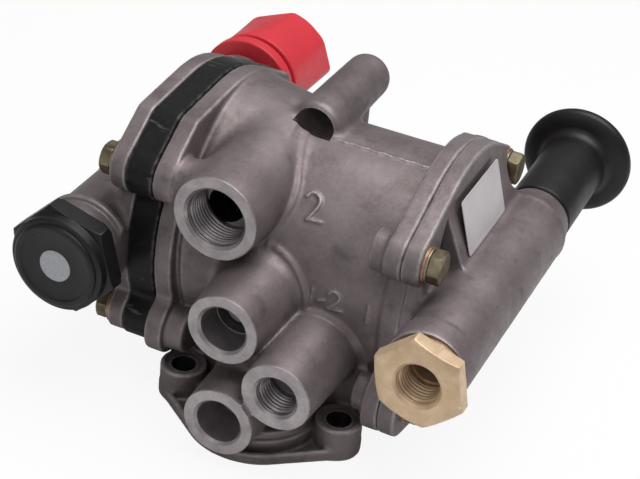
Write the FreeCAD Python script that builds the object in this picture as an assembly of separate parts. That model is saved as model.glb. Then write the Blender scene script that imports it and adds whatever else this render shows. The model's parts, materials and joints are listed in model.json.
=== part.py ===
import FreeCAD, Part
import math
import os

from FreeCAD import Vector

# Emergency release valve, millimetres, +Z up.
# Origin: centre of the two-bolt base flange, on its underside.
# +X runs from the spacer plate side to the shunt valve side, -Y is the port side, +Y the knob side.

# Main valve axis, along X
AXIS_Y = 43.0
AXIS_Z = 50.0

# Body casting
BODY_R = 39.5
CREST_SHIFT_Y = 1.0
CREST_SHIFT_Z = 2.0
LEFT_FACE_X = -42.0
RIGHT_FACE_X = 44.0
LEFT_FLANGE_T = 6.5
RIGHT_FLANGE_T = 6.0
DELIVERY_BORE_R = 34.0
SUPPLY_BORE_R = 29.5
PARTITION_X = -12.0
PARTITION_T = 5.0
SHOULDER_R = 43.5
SHOULDER_L = 14.0
SHOULDER_GAP = 2.0
SHOULDER_RAISE = 3.0
PAD_R = 41.5
PAD_END_R = 36.5
PAD_SHIFT_Y = 3.0
PAD_SHIFT_Z = 8.0
PAD_END_X = -12.0

# Left flange outline, shared by the body, the spacer plate and the left cover
LEFT_TOP_R = 50.0
LEFT_BOTTOM_R = 46.5
LEFT_WAIST_INSET = 5.5
LEFT_FRONT_BOLT_INSET = 10.5
LEFT_BACK_BOLT_INSET = 13.5
LEFT_HALF_Z = 28.8
LEFT_RAISE_Z = 2.0
LEFT_LOBE_R = 8.6
LEFT_BACK_LOBE_R = 6.0
LEFT_CORNER_R = 6.3
LEFT_CORNER_TURN = 123.5
LEFT_FOOT_LOBE_R = 10.2
LEFT_LOW_LOBE_R = 7.2
LEFT_BOSS_R = 8.0
LEFT_BOSS_L = 7.0

# Right flange outline, shared by the body and the right cover
RIGHT_TOP_R = 48.0
RIGHT_BOTTOM_R = 47.0
RIGHT_WAIST_INSET = 8.0
RIGHT_FRONT_BOLT_INSET = 10.6
RIGHT_BACK_BOLT_INSET = 13.0
RIGHT_HALF_Z = 27.6
RIGHT_FRONT_LOBE_R = 8.0
RIGHT_BACK_LOBE_R = 7.0
RIGHT_FOOT_LOBE_R = 11.5
RIGHT_BOSS_R = 7.0
RIGHT_BOSS_L = 5.5
LOBE_FILLET_R = 4.0

# Stack to the left of the body
SPACER_T = 10.0
SPACER_PROUD = 0.4
SPACER_HUB_R = 14.0
COVER_RIM_T = 6.0
PAN_R = 41.0
PAN_DEPTH = 3.5
PAN_TAPER = 3.5
EXHAUST_CHAMBER_R = 30.0
EXHAUST_CHAMBER_DEPTH = 6.0

# Ports on the front of the body: x, y of the face, z
PORT_2_X, PORT_2_Y, PORT_2_Z = -17.5, -8.0, 78.0
PORT_2_BOSS_R = 14.75
PORT_2_ROOT_R = 16.9
PORT_2_THREAD_R = 10.2
PORT_2_THREAD_L = 15.0
PORT_2_DRILL_R = 6.5
PORT_2_DRILL_X = -20.5
PORT_12_X, PORT_12_Y, PORT_12_Z = -5.2, -22.8, 48.4
LOWER_LEFT_X, LOWER_LEFT_Y, LOWER_LEFT_Z = -1.7, -28.9, 16.8
LOWER_RIGHT_X, LOWER_RIGHT_Y, LOWER_RIGHT_Z = 17.1, -27.6, 33.7
PORT_12_BOSS_R = 12.3
PORT_12_ROOT_R = 16.2
LOWER_LEFT_BOSS_R = 12.3
LOWER_LEFT_ROOT_R = 12.9
LOWER_RIGHT_BOSS_R = 12.0
LOWER_RIGHT_ROOT_R = 15.2
PLAIN_PORT_R = 8.0
LOWER_LEFT_BORE_R = 7.8
PLAIN_PORT_L = 16.0
LOWER_RIGHT_THREAD_R = 7.0
LOWER_RIGHT_THREAD_L = 13.0
LOWER_RIGHT_FEED_R = 4.5
CHAMFER = 0.9

# Gallery under the ports, and the base flange
GALLERY_OUTER_R = 14.4
GALLERY_FOOT_R = 20.5
GALLERY_FOOT_Z = 10.0
GALLERY_STEP_R = 22.0
GALLERY_STEP_Z = 7.5
GALLERY_WEB_LEFT_X = -13.0
GALLERY_WEB_RIGHT_X = 9.0
GALLERY_WEB_TOP_Z = 40.0
SIDE_WEB_LEFT_X = -33.0
SIDE_WEB_RIGHT_X = 34.0
SIDE_WEB_Y = 7.5
SIDE_WEB_T = 6.0
SIDE_WEB_Z = 3.0
GALLERY_TOP_Z = 40.0
GALLERY_R = 11.0
GALLERY_END_Z = 34.0
GALLERY_PASSAGE_R = 4.5
GALLERY_PASSAGE_X = 5.0
GALLERY_PASSAGE_Z = 26.0
BASE_R = 25.6
BASE_T = 4.5
BASE_RIM = 2.0
BASE_POCKET_DEPTH = 2.5
REGISTER_R = 15.0
REGISTER_DEPTH = 3.0
EAR_X = 29.3
EAR_R = 8.0
EAR_T = 12.0
EAR_SPOT_R = 6.6
EAR_SPOT_DEPTH = 0.8
EAR_HOLE_R = 4.3

# Vent tube on the top of the body
TUBE_X = -6.3
TUBE_Z = 92.2
TUBE_FRONT_Y = 40.0
TUBE_BACK_Y = 88.0
TUBE_FRONT_R = 9.0
TUBE_BACK_R = 8.3
TUBE_END_FILLET = 3.0
TUBE_BORE_R = 7.2
TUBE_BORE_L = 36.0
TUBE_WEB_T = 3.0
TUBE_WEB_BACK_Y = 88.0
TUBE_WEB_Z = 58.0

# Park valve in the left cover, along Y
PARK_X = -65.5
PARK_Z = 59.5
PARK_BOSS_R = 14.0
PARK_START_Y = 32.0
PARK_BACK_Y = 108.5
PARK_BORE_R = 8.0
PARK_MOUTH_R = 10.5
PARK_MOUTH_L = 8.0
PARK_STROKE = 8.0
PARK_WEB_FRONT_Y = 10.0
PARK_WEB_HALF_Z = 9.0
PARK_WEB_BACK_Y = 92.0

# Exhaust boss on the front of the left cover, and its hexagon cap
EXHAUST_X = -66.0
EXHAUST_Z = 52.0
EXHAUST_FRONT_Y = -11.8
EXHAUST_BACK_Y = 36.0
EXHAUST_BOSS_R = 15.0
EXHAUST_BOSS_ROOT_R = 15.2
EXHAUST_COLLAR_R = 16.6
EXHAUST_COLLAR_L = 3.0
EXHAUST_COLLAR_Y = -6.0
EXHAUST_BORE_R = 7.0
EXHAUST_BORE_END_Y = 27.0
EXHAUST_PASSAGE_R = 5.0
EXHAUST_PASSAGE_Y = 20.0
CAP_THREAD_R = 11.0
CAP_THREAD_L = 12.0
CAP_HEX_AF = 34.6
CAP_HEX_L = 7.0
CAP_HEX_TURN = 45.0
CAP_ROUND_R = 17.0
CAP_RIM_R = 15.2
CAP_ROUND_L = 3.6
CAP_RIM_L = 1.4
CAP_DISH_R = 13.0
CAP_DISH_DEPTH = 1.0
CAP_HOLE_R = 5.8
CAP_PLUG_DEPTH = 4.0

# Shunt valve tube in the right cover, along Y
SHUNT_X = 62.5
SHUNT_Z = 56.8
SHUNT_FRONT_Y = -19.3
SHUNT_MOUTH_Y = 84.5
SHUNT_FRONT_R = 12.9
SHUNT_BACK_R = 13.6
SHUNT_MOUTH_OUTER_R = 12.1
SHUNT_ROUNDING_L = 9.0
SHUNT_COLLAR_X = 61.6
SHUNT_COLLAR_Z = 57.5
SHUNT_COLLAR_R = 13.3
SHUNT_COLLAR_BACK_Y = -10.0
SHUNT_BORE_R = 7.5
SHUNT_MOUTH_R = 8.6
SHUNT_MOUTH_L = 6.0
SHUNT_STROKE = 10.0
SHUNT_PASSAGE_R = 3.5
SHUNT_PASSAGE_Y = 40.0
ADAPTER_THREAD_R = 9.5
ADAPTER_THREAD_L = 13.0

# Right cover plate and its sloped face
COVER_PLATE_T = 6.0
FACE_TOP_DROP = 5.5
FACE_TOP_X = 50.5
FACE_HEIGHT = 24.5
FACE_FOOT_X = 57.8
FACE_FRONT_Y = 21.0
FACE_BACK_Y = 76.0
WEB_HALF_Z = 9.0
WEB_FRONT_Y = 8.0
WEB_BACK_Y = 80.0
SHUNT_CHAMBER_R = 26.0
SHUNT_CHAMBER_DEPTH = 2.0

# Label plate on the sloped face
LABEL_W = 34.0
LABEL_H = 19.5
LABEL_T = 0.3
LABEL_CENTRE_Y = 44.0
LABEL_DROP = 3.4

# Brass adapter in the front of the shunt tube
ADAPTER_AF = 27.5
ADAPTER_HEX_L = 7.2
ADAPTER_TURN = 42.0
ADAPTER_THROUGH_R = 6.6
ADAPTER_SOCKET_R = 7.2
ADAPTER_SOCKET_L = 13.0
WASHER_T = 1.2

# Bolts
BOLT_R = 3.0
BOLT_AF = 10.0
BOLT_HEAD_T = 4.2
BOLT_HOLE_R = 3.3
BOLT_WASHER_R = 6.2
BOLT_WASHER_T = 1.6
LEFT_BOLT_TIP = 3.0
RIGHT_BOLT_TIP = 2.0

# Knobs
RED_BASE_R = 18.4
RED_BASE_T = 5.0
RED_GROOVE_R = 15.5
RED_GROOVE_T = 3.0
RED_FRONT_R = 17.8
RED_LONG = 38.6
RED_SHORT = 29.6
RED_BODY_L = 32.0
RED_TURN = 22.0
RED_ROUNDING = 2.0
RED_GAP = 2.5
BLACK_STEM_R = 12.0
BLACK_STEM_L = 42.2
BLACK_DISC_R = 20.4
BLACK_FLARE_L = 4.5
BLACK_RIM_T = 2.6
BLACK_DOME = 4.0
BLACK_GAP = 1.0
KNOB_SOCKET_L = 14.0

# Clearances
SLIDE_GAP = 0.05
STATIC_GAP = 0.1
TOUCH_GAP = 0.02
SOFT_GAP = 0.3

# Seals, springs and rings
SEAL_R = 1.3
LAND_L = 5.7
PISTON_SEAL_R = 1.8
FACE_SEAL_R = 1.0
FACE_SEAL_GAP = 2.2
PISTON_WIRE_R = 1.1
PISTON_SPRING_TURNS = 5
VALVE_WIRE_R = 0.8
VALVE_SPRING_TURNS = 4
CHECK_WIRE_R = 0.5
CHECK_SPRING_TURNS = 5
SNAP_T = 1.2
SNAP_DEPTH = 1.0
RING_GAP_SHARE = 0.33

# Relay piston and inlet valve
PISTON_X = -39.0
PISTON_T = 8.0
PISTON_DISH_R = 24.0
PISTON_ROD_R = 8.0
PISTON_ROD_LEFT_X = -55.0
PISTON_ROD_BORE_R = 4.0
PISTON_NOSE_R = 6.5
PISTON_SPRING_R = 16.0
VALVE_OPENING_R = 9.0
VALVE_LIP_T = 1.5
VALVE_LIP_H = 2.0
VALVE_FACE_R = 12.5
VALVE_FACE_T = 2.0
VALVE_DISC_T = 3.0
VALVE_STEM_R = 5.0
VALVE_SPRING_R = 9.0
GUIDE_X = 23.0
GUIDE_T = 6.0
GUIDE_HUB_R = 8.5
GUIDE_HUB_L = 8.0

# Check valve in port 1-2
CHECK_SEAT_Y = -8.0
CHECK_SEAT_T = 3.0
CHECK_SEAT_R = 7.7
CHECK_OPENING_R = 4.5
CHECK_DISC_R = 6.4
CHECK_DISC_T = 2.5
CHECK_STEM_R = 2.0
CHECK_STROKE = 3.0
CHECK_CHAMBER_L = 14.0
CHECK_SPRING_R = 4.2
FEED_R = 5.0
FEED_X = 0.0

# Plug in the underside of the gallery
PLUG_Z = 5.2
PLUG_T = 6.0

# Stations worked out from the values above
LEFT_WAIST_R = LEFT_TOP_R - LEFT_WAIST_INSET
LEFT_FRONT_HALF_Y = LEFT_TOP_R - LEFT_FRONT_BOLT_INSET
LEFT_BACK_HALF_Y = LEFT_TOP_R - LEFT_BACK_BOLT_INSET
RIGHT_WAIST_R = RIGHT_TOP_R - RIGHT_WAIST_INSET
RIGHT_FRONT_HALF_Y = RIGHT_TOP_R - RIGHT_FRONT_BOLT_INSET
RIGHT_BACK_HALF_Y = RIGHT_TOP_R - RIGHT_BACK_BOLT_INSET
FACE_TOP_Z = AXIS_Z + RIGHT_TOP_R - FACE_TOP_DROP
FACE_FOOT_Z = FACE_TOP_Z - FACE_HEIGHT
SPACER_X = LEFT_FACE_X - SPACER_T
COVER_X = SPACER_X - COVER_RIM_T
PLATE_X = RIGHT_FACE_X + COVER_PLATE_T
PARTITION_END_X = PARTITION_X + PARTITION_T
SEAT_X = PARTITION_END_X + VALVE_LIP_H
CHECK_STEP_Y = CHECK_SEAT_Y - CHECK_SEAT_T


def rod_x(radius, x0, x1, y=AXIS_Y, z=AXIS_Z):
    return Part.makeCylinder(radius, x1 - x0, Vector(x0, y, z), Vector(1, 0, 0))


def rod_y(radius, y0, y1, x, z):
    return Part.makeCylinder(radius, y1 - y0, Vector(x, y0, z), Vector(0, 1, 0))


def rod_z(radius, z0, z1, x, y):
    return Part.makeCylinder(radius, z1 - z0, Vector(x, y, z0), Vector(0, 0, 1))


def taper_x(r0, r1, x0, x1, y=AXIS_Y, z=AXIS_Z):
    return Part.makeCone(r0, r1, x1 - x0, Vector(x0, y, z), Vector(1, 0, 0))


def taper_y(r0, r1, y0, y1, x, z):
    return Part.makeCone(r0, r1, y1 - y0, Vector(x, y0, z), Vector(0, 1, 0))


def block(x0, x1, y0, y1, z0, z1):
    return Part.makeBox(x1 - x0, y1 - y0, z1 - z0, Vector(x0, y0, z0))


def joined(shapes):
    return shapes[0].multiFuse(shapes[1:]).removeSplitter()


def without(shape, tools):
    return shape.cut(Part.makeCompound(tools)).removeSplitter()


def prism(points, direction):
    """A closed polygon of points pushed along a direction."""
    return Part.Face(Part.makePolygon(points + points[:1])).extrude(direction)


def turned_y(profile, x, z):
    """A profile of (radius, y) points turned about the line along Y at x, z."""
    points = [Vector(x + radius, y, z) for radius, y in profile]
    face = Part.Face(Part.makePolygon(points + points[:1]))
    return face.revolve(Vector(x, 0, z), Vector(0, 1, 0), 360)


def seal_y(radius, section, y, x, z):
    return Part.makeTorus(radius, section, Vector(x, y, z), Vector(0, 1, 0))


def seal_x(radius, section, x, y=AXIS_Y, z=AXIS_Z):
    return Part.makeTorus(radius, section, Vector(x, y, z), Vector(1, 0, 0))


def coil(radius, wire_r, start, direction, length, turns):
    """A compression spring whose end turns stay inside its length, its wire swept as four quarters."""
    rise = length - 2 * wire_r
    helix = Part.makeHelix(rise / turns, rise, radius)
    centre = Vector(radius, 0, 0)
    quarters = []
    for start_angle in (0, 90, 180, 270):
        quarters.append(Part.makeCircle(wire_r, centre, Vector(0, 1, 0), start_angle, start_angle + 90))
    spring = Part.Wire(helix).makePipeShell([Part.Wire(quarters)], True, True)
    spring.Placement = FreeCAD.Placement(
        start + direction * wire_r, FreeCAD.Rotation(Vector(0, 0, 1), direction)
    )
    return spring


def hexagon_y(across_flats, y0, y1, x, z, turn):
    corner = across_flats / math.sqrt(3)
    points = []
    for step in range(6):
        angle = math.radians(turn + 60 * step)
        points.append(Vector(x + corner * math.cos(angle), y0, z + corner * math.sin(angle)))
    bar = prism(points, Vector(0, y1 - y0, 0))
    # The corners of both end faces are turned off
    bevel = corner - across_flats / 2
    profile = [
        (0, y0),
        (corner - bevel, y0),
        (corner, y0 + bevel / 2),
        (corner, y1 - bevel / 2),
        (corner - bevel, y1),
        (0, y1),
    ]
    barrel = turned_y(profile, x, z)
    return bar.common(barrel)


def hexagon_x(across_flats, x0, x1, y, z):
    corner = across_flats / math.sqrt(3)
    points = []
    for step in range(6):
        angle = math.radians(60 * step)
        points.append(Vector(x0, y + corner * math.cos(angle), z + corner * math.sin(angle)))
    return prism(points, Vector(x1 - x0, 0, 0))


def bolt_places(front_half_y, back_half_y, half_z, raise_z):
    places = []
    for y in (AXIS_Y - front_half_y, AXIS_Y + back_half_y):
        for side_z in (-1, 1):
            places.append((y, AXIS_Z + raise_z + side_z * half_z))
    return places


LEFT_BOLTS = bolt_places(LEFT_FRONT_HALF_Y, LEFT_BACK_HALF_Y, LEFT_HALF_Z, LEFT_RAISE_Z)
RIGHT_BOLTS = bolt_places(RIGHT_FRONT_HALF_Y, RIGHT_BACK_HALF_Y, RIGHT_HALF_Z, 0)


def circle_meeting(distance, angle, lobe_r, disc_r, side):
    """Where a lobe circle meets a disc circle about the main axis, on one side of the lobe's direction."""
    along = (distance ** 2 + disc_r ** 2 - lobe_r ** 2) / (2 * distance)
    swing = math.acos(along / disc_r)
    return (
        AXIS_Y + disc_r * math.cos(angle + side * swing),
        AXIS_Z + disc_r * math.sin(angle + side * swing),
    )


def tangent_side(x0, x1, first, second, side):
    """Plate between the centres of two discs (y, z, radius) and their common tangent on one side."""
    reach_y, reach_z = second[0] - first[0], second[1] - first[1]
    lean = math.acos((first[2] - second[2]) / math.hypot(reach_y, reach_z))
    tangent = math.atan2(reach_z, reach_y) + side * lean
    corners = [Vector(x0, first[0], first[1]), Vector(x0, second[0], second[1])]
    for y, z, radius in (second, first):
        corners.append(Vector(x0, y + radius * math.cos(tangent), z + radius * math.sin(tangent)))
    return prism(corners, Vector(x1 - x0, 0, 0))


def flange_plate(x0, x1, top_r, bottom_r, waist_r, lobes, corner=None):
    """Bolted flange: a waist disc, fuller crowns above and below, and a lobe (y, z, radius) per bolt.

    The corner, where there is one, is a further disc between the top crown and the front lobe."""
    pieces = [rod_x(waist_r, x0, x1)]
    half_y = abs(lobes[0][0] - AXIS_Y)
    half_z = min(abs(z - AXIS_Z) for y, z, radius in lobes)
    for crown_r, side in ((top_r, 1), (bottom_r, -1)):
        z0, z1 = sorted((AXIS_Z + side * half_z, AXIS_Z + side * crown_r))
        window = block(x0, x1, AXIS_Y - half_y, AXIS_Y + half_y, z0, z1)
        pieces.append(rod_x(crown_r, x0, x1).common(window))
    waist_corners = []
    for y, z, lobe_r in lobes:
        crown_r = top_r if z > AXIS_Z else bottom_r
        crown_side = 1 if (y - AXIS_Y) * (z - AXIS_Z) > 0 else -1
        pieces.append(rod_x(lobe_r, x0, x1, y, z))
        pieces.append(tangent_side(x0, x1, (AXIS_Y, AXIS_Z, crown_r), (y, z, lobe_r), crown_side))
        distance = math.hypot(y - AXIS_Y, z - AXIS_Z)
        toward = math.atan2(z - AXIS_Z, y - AXIS_Y)
        waist_corners.append(circle_meeting(distance, toward, lobe_r, waist_r, -crown_side))
    if corner:
        front_top = max(lobes, key=lambda lobe: lobe[1] - lobe[0])
        pieces.append(rod_x(corner[2], x0, x1, corner[0], corner[1]))
        pieces.append(tangent_side(x0, x1, (AXIS_Y, AXIS_Z, top_r), corner, -1))
        pieces.append(tangent_side(x0, x1, corner, front_top, -1))
    plate = joined(pieces)
    edges = [edge for place in waist_corners for edge in edges_along_x(plate, place)]
    return plate.makeFillet(LOBE_FILLET_R, edges)


def edges_along_x(shape, place):
    """Edges parallel to X that pass through a place (y, z)."""
    found = []
    for edge in shape.Edges:
        first, last = edge.Vertexes[0].Point, edge.Vertexes[-1].Point
        same_line = math.hypot(first.y - last.y, first.z - last.z) < TOUCH_GAP
        near = math.hypot(first.y - place[0], first.z - place[1]) < STATIC_GAP
        if same_line and near and abs(first.x - last.x) > STATIC_GAP:
            found.append(edge)
    return found


def left_plate(x0, x1, low_lobe_r, proud=0.0):
    lobes = []
    for y, z in LEFT_BOLTS:
        upper_r = LEFT_LOBE_R if y < AXIS_Y else LEFT_BACK_LOBE_R
        lobes.append((y, z, (upper_r if z > AXIS_Z else low_lobe_r) + proud))
    turn = math.radians(LEFT_CORNER_TURN)
    corner = (
        AXIS_Y + LEFT_TOP_R * math.cos(turn),
        AXIS_Z + LEFT_TOP_R * math.sin(turn),
        LEFT_CORNER_R + proud,
    )
    return flange_plate(
        x0, x1, LEFT_TOP_R + proud, LEFT_BOTTOM_R + proud, LEFT_WAIST_R + proud, lobes, corner
    )


def right_plate(x0, x1):
    lobes = []
    for y, z in RIGHT_BOLTS:
        if y > AXIS_Y:
            radius = RIGHT_BACK_LOBE_R
        else:
            radius = RIGHT_FRONT_LOBE_R if z > AXIS_Z else RIGHT_FOOT_LOBE_R
        lobes.append((y, z, radius))
    return flange_plate(x0, x1, RIGHT_TOP_R, RIGHT_BOTTOM_R, RIGHT_WAIST_R, lobes)


def port_hole(radius, length, x, y, z):
    """A hole from the port's face inwards, with a chamfered mouth."""
    return joined(
        [rod_y(radius, y, y + length, x, z), taper_y(radius + CHAMFER, radius, y, y + CHAMFER, x, z)]
    )


def base_outline(x, inset, height):
    """Plate with a round middle and an ear at each end, its edge set in by inset."""
    middle_r = BASE_R - inset
    ear_r = EAR_R - inset
    lean = math.acos((middle_r - ear_r) / x)
    pieces = [rod_z(middle_r, 0, height, 0, 0)]
    for side in (-1, 1):
        pieces.append(rod_z(ear_r, 0, height, side * x, 0))
        points = []
        for radius, centre, turn in ((middle_r, 0, 1), (ear_r, x, 1), (ear_r, x, -1), (middle_r, 0, -1)):
            points.append(
                Vector(side * (centre + radius * math.cos(lean)), turn * radius * math.sin(lean), 0)
            )
        pieces.append(prism(points, Vector(0, 0, height)))
    return joined(pieces)


def base_flange():
    """Two-bolt base flange with raised ears and a shallow pocket inside its rim."""
    floor = BASE_T - BASE_POCKET_DEPTH
    pocket = base_outline(EAR_X, BASE_RIM, BASE_T).cut(base_outline(EAR_X, BASE_RIM, floor))
    pieces = [
        base_outline(EAR_X, 0, BASE_T).cut(pocket),
        rod_z(GALLERY_STEP_R, 0, GALLERY_STEP_Z, 0, 0),
        rod_z(GALLERY_FOOT_R, 0, GALLERY_FOOT_Z, 0, 0),
    ]
    for side in (-1, 1):
        pieces.append(rod_z(EAR_R, 0, EAR_T, side * EAR_X, 0))
    return joined(pieces)


def vent_tube():
    """Closed tube on top of the body, open towards the ports."""
    tube = taper_y(TUBE_FRONT_R, TUBE_BACK_R, TUBE_FRONT_Y, TUBE_BACK_Y, TUBE_X, TUBE_Z)
    end = [edge for edge in tube.Edges if edge.BoundBox.YMin > TUBE_BACK_Y - TOUCH_GAP]
    return tube.makeFillet(TUBE_END_FILLET, end)


def body_outside():
    shoulder_x = LEFT_FACE_X + LEFT_FLANGE_T + SHOULDER_GAP
    left_shoulder = taper_x(
        SHOULDER_R, BODY_R, shoulder_x, shoulder_x + SHOULDER_L, z=AXIS_Z + SHOULDER_RAISE
    )
    raised_pad = taper_x(
        PAD_R, PAD_END_R, LEFT_FACE_X, PAD_END_X, AXIS_Y + PAD_SHIFT_Y, AXIS_Z + PAD_SHIFT_Z
    )
    pieces = [
        raised_pad,
        rod_x(BODY_R, LEFT_FACE_X, RIGHT_FACE_X),
        rod_x(BODY_R, LEFT_FACE_X, RIGHT_FACE_X, AXIS_Y + CREST_SHIFT_Y, AXIS_Z + CREST_SHIFT_Z),
        left_shoulder,
        left_plate(LEFT_FACE_X, LEFT_FACE_X + LEFT_FLANGE_T, LEFT_FOOT_LOBE_R),
        right_plate(RIGHT_FACE_X - RIGHT_FLANGE_T, RIGHT_FACE_X),
        taper_y(PORT_2_BOSS_R, PORT_2_ROOT_R, PORT_2_Y, AXIS_Y, PORT_2_X, PORT_2_Z),
        taper_y(PORT_12_BOSS_R, PORT_12_ROOT_R, PORT_12_Y, AXIS_Y - BODY_R / 2, PORT_12_X, PORT_12_Z),
        taper_y(LOWER_LEFT_BOSS_R, LOWER_LEFT_ROOT_R, LOWER_LEFT_Y, 0, LOWER_LEFT_X, LOWER_LEFT_Z),
        taper_y(
            LOWER_RIGHT_BOSS_R,
            LOWER_RIGHT_ROOT_R,
            LOWER_RIGHT_Y,
            AXIS_Y - BODY_R / 2,
            LOWER_RIGHT_X,
            LOWER_RIGHT_Z,
        ),
        rod_z(GALLERY_OUTER_R, 0, GALLERY_TOP_Z, 0, 0),
        base_flange(),
        vent_tube(),
        block(
            TUBE_X - TUBE_WEB_T / 2, TUBE_X + TUBE_WEB_T / 2, AXIS_Y, TUBE_WEB_BACK_Y, TUBE_WEB_Z, TUBE_Z
        ),
        block(GALLERY_WEB_LEFT_X, GALLERY_WEB_RIGHT_X, 0, AXIS_Y / 2, BASE_T, GALLERY_WEB_TOP_Z),
        block(
            SIDE_WEB_LEFT_X,
            SIDE_WEB_RIGHT_X,
            SIDE_WEB_Y,
            SIDE_WEB_Y + SIDE_WEB_T,
            SIDE_WEB_Z,
            GALLERY_WEB_TOP_Z,
        ),
    ]
    for y, z in LEFT_BOLTS:
        flange_x = LEFT_FACE_X + LEFT_FLANGE_T
        if y < AXIS_Y:
            pieces.append(rod_x(LEFT_BOSS_R, flange_x, flange_x + LEFT_BOSS_L, y, z))
    for y, z in RIGHT_BOLTS:
        flange_x = RIGHT_FACE_X - RIGHT_FLANGE_T
        pieces.append(rod_x(RIGHT_BOSS_R, flange_x - RIGHT_BOSS_L, flange_x, y, z))
    return joined(pieces)


def body_inside():
    """Everything that is drilled, bored or cored out of the body."""
    spring_side = [
        rod_x(DELIVERY_BORE_R, LEFT_FACE_X, PARTITION_X),
        rod_x(SUPPLY_BORE_R, PARTITION_END_X, RIGHT_FACE_X),
        rod_x(VALVE_OPENING_R, PARTITION_X, PARTITION_END_X),
    ]
    ports = [
        port_hole(PORT_2_THREAD_R, PORT_2_THREAD_L, PORT_2_X, PORT_2_Y, PORT_2_Z),
        rod_y(PORT_2_DRILL_R, PORT_2_Y, AXIS_Y, PORT_2_DRILL_X, PORT_2_Z - PORT_2_DRILL_R / 2),
        port_hole(PLAIN_PORT_R, CHECK_STEP_Y - PORT_12_Y, PORT_12_X, PORT_12_Y, PORT_12_Z),
        rod_y(CHECK_SEAT_R, CHECK_STEP_Y, CHECK_SEAT_Y, PORT_12_X, PORT_12_Z),
        rod_y(
            CHECK_DISC_R + 2 * SOFT_GAP, CHECK_SEAT_Y, CHECK_SEAT_Y + CHECK_CHAMBER_L, PORT_12_X, PORT_12_Z
        ),
        rod_y(FEED_R, CHECK_SEAT_Y + CHECK_CHAMBER_L / 2, AXIS_Y - BODY_R / 2, FEED_X, PORT_12_Z),
        port_hole(LOWER_LEFT_BORE_R, PLAIN_PORT_L, LOWER_LEFT_X, LOWER_LEFT_Y, LOWER_LEFT_Z),
        rod_y(FEED_R, LOWER_LEFT_Y, 0, LOWER_LEFT_X, LOWER_LEFT_Z),
        port_hole(
            LOWER_RIGHT_THREAD_R, LOWER_RIGHT_THREAD_L, LOWER_RIGHT_X, LOWER_RIGHT_Y, LOWER_RIGHT_Z
        ),
        rod_y(LOWER_RIGHT_FEED_R, LOWER_RIGHT_Y, AXIS_Y - BODY_R / 2, LOWER_RIGHT_X, LOWER_RIGHT_Z),
    ]
    gallery = [
        rod_z(GALLERY_R, 0, GALLERY_END_Z, 0, 0),
        rod_z(REGISTER_R, 0, REGISTER_DEPTH, 0, 0),
        rod_y(GALLERY_PASSAGE_R, 0, AXIS_Y - BODY_R / 4, GALLERY_PASSAGE_X, GALLERY_PASSAGE_Z),
        snap_groove_z(),
    ]
    holes = [rod_y(TUBE_BORE_R, TUBE_FRONT_Y, TUBE_FRONT_Y + TUBE_BORE_L, TUBE_X, TUBE_Z)]
    for side in (-1, 1):
        holes.append(rod_z(EAR_HOLE_R, 0, EAR_T, side * EAR_X, 0))
        holes.append(rod_z(EAR_SPOT_R, EAR_T - EAR_SPOT_DEPTH, EAR_T, side * EAR_X, 0))
    for y, z in LEFT_BOLTS:
        end = LEFT_FACE_X + LEFT_FLANGE_T + LEFT_BOSS_L
        holes.append(rod_x(BOLT_R + STATIC_GAP, LEFT_FACE_X, end, y, z))
    for y, z in RIGHT_BOLTS:
        start = RIGHT_FACE_X - RIGHT_FLANGE_T - RIGHT_BOSS_L + RIGHT_BOLT_TIP
        holes.append(rod_x(BOLT_R + STATIC_GAP, start, RIGHT_FACE_X, y, z))
    grooves = [
        rod_x(SUPPLY_BORE_R + SNAP_DEPTH, guide_end_x(), guide_end_x() + SNAP_T + STATIC_GAP),
        rod_x(SUPPLY_BORE_R + SNAP_DEPTH, GUIDE_X - SNAP_T - STATIC_GAP, GUIDE_X),
        face_groove(LEFT_FACE_X, DELIVERY_BORE_R + FACE_SEAL_GAP),
        face_groove(RIGHT_FACE_X, SUPPLY_BORE_R + FACE_SEAL_GAP),
    ]
    return spring_side + ports + gallery + holes + grooves


def guide_end_x():
    return GUIDE_X + GUIDE_T + STATIC_GAP


def snap_groove_z():
    return rod_z(GALLERY_R + SNAP_DEPTH, PLUG_Z - SNAP_T - STATIC_GAP, PLUG_Z, 0, 0)


def main_body():
    lip = rod_x(VALVE_OPENING_R + VALVE_LIP_T, PARTITION_END_X, SEAT_X)
    lip = lip.cut(rod_x(VALVE_OPENING_R, PARTITION_END_X, SEAT_X))
    return joined([without(body_outside(), body_inside()), lip])


def spacer_plate():
    """Black plate between body and left cover, with the hub that guides the piston rod."""
    plate = left_plate(SPACER_X, LEFT_FACE_X, LEFT_LOW_LOBE_R, SPACER_PROUD)
    tools = [
        rod_x(PISTON_ROD_R + SLIDE_GAP, SPACER_X, LEFT_FACE_X),
        without(
            rod_x(PISTON_DISH_R, LEFT_FACE_X - SPACER_T / 2, LEFT_FACE_X),
            [rod_x(SPACER_HUB_R, SPACER_X, LEFT_FACE_X)],
        ),
    ]
    for y, z in LEFT_BOLTS:
        tools.append(rod_x(BOLT_HOLE_R, SPACER_X, LEFT_FACE_X, y, z))
    tools.append(face_groove(SPACER_X, DELIVERY_BORE_R + FACE_SEAL_GAP))
    tools.append(face_groove(LEFT_FACE_X, DELIVERY_BORE_R + FACE_SEAL_GAP))
    tools.append(rod_groove())
    return without(plate, tools)


def face_groove(x, radius):
    """Groove for a face seal, centred on a plane across the main axis."""
    half = FACE_SEAL_R + STATIC_GAP
    outer = rod_x(radius + half, x - half, x + half)
    return outer.cut(rod_x(radius - half, x - half, x + half))


def rod_groove():
    half = SEAL_R + STATIC_GAP
    middle = SPACER_X + SPACER_T / 4
    return rod_x(PISTON_ROD_R + 2 * SEAL_R + STATIC_GAP, middle - half, middle + half)


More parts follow.
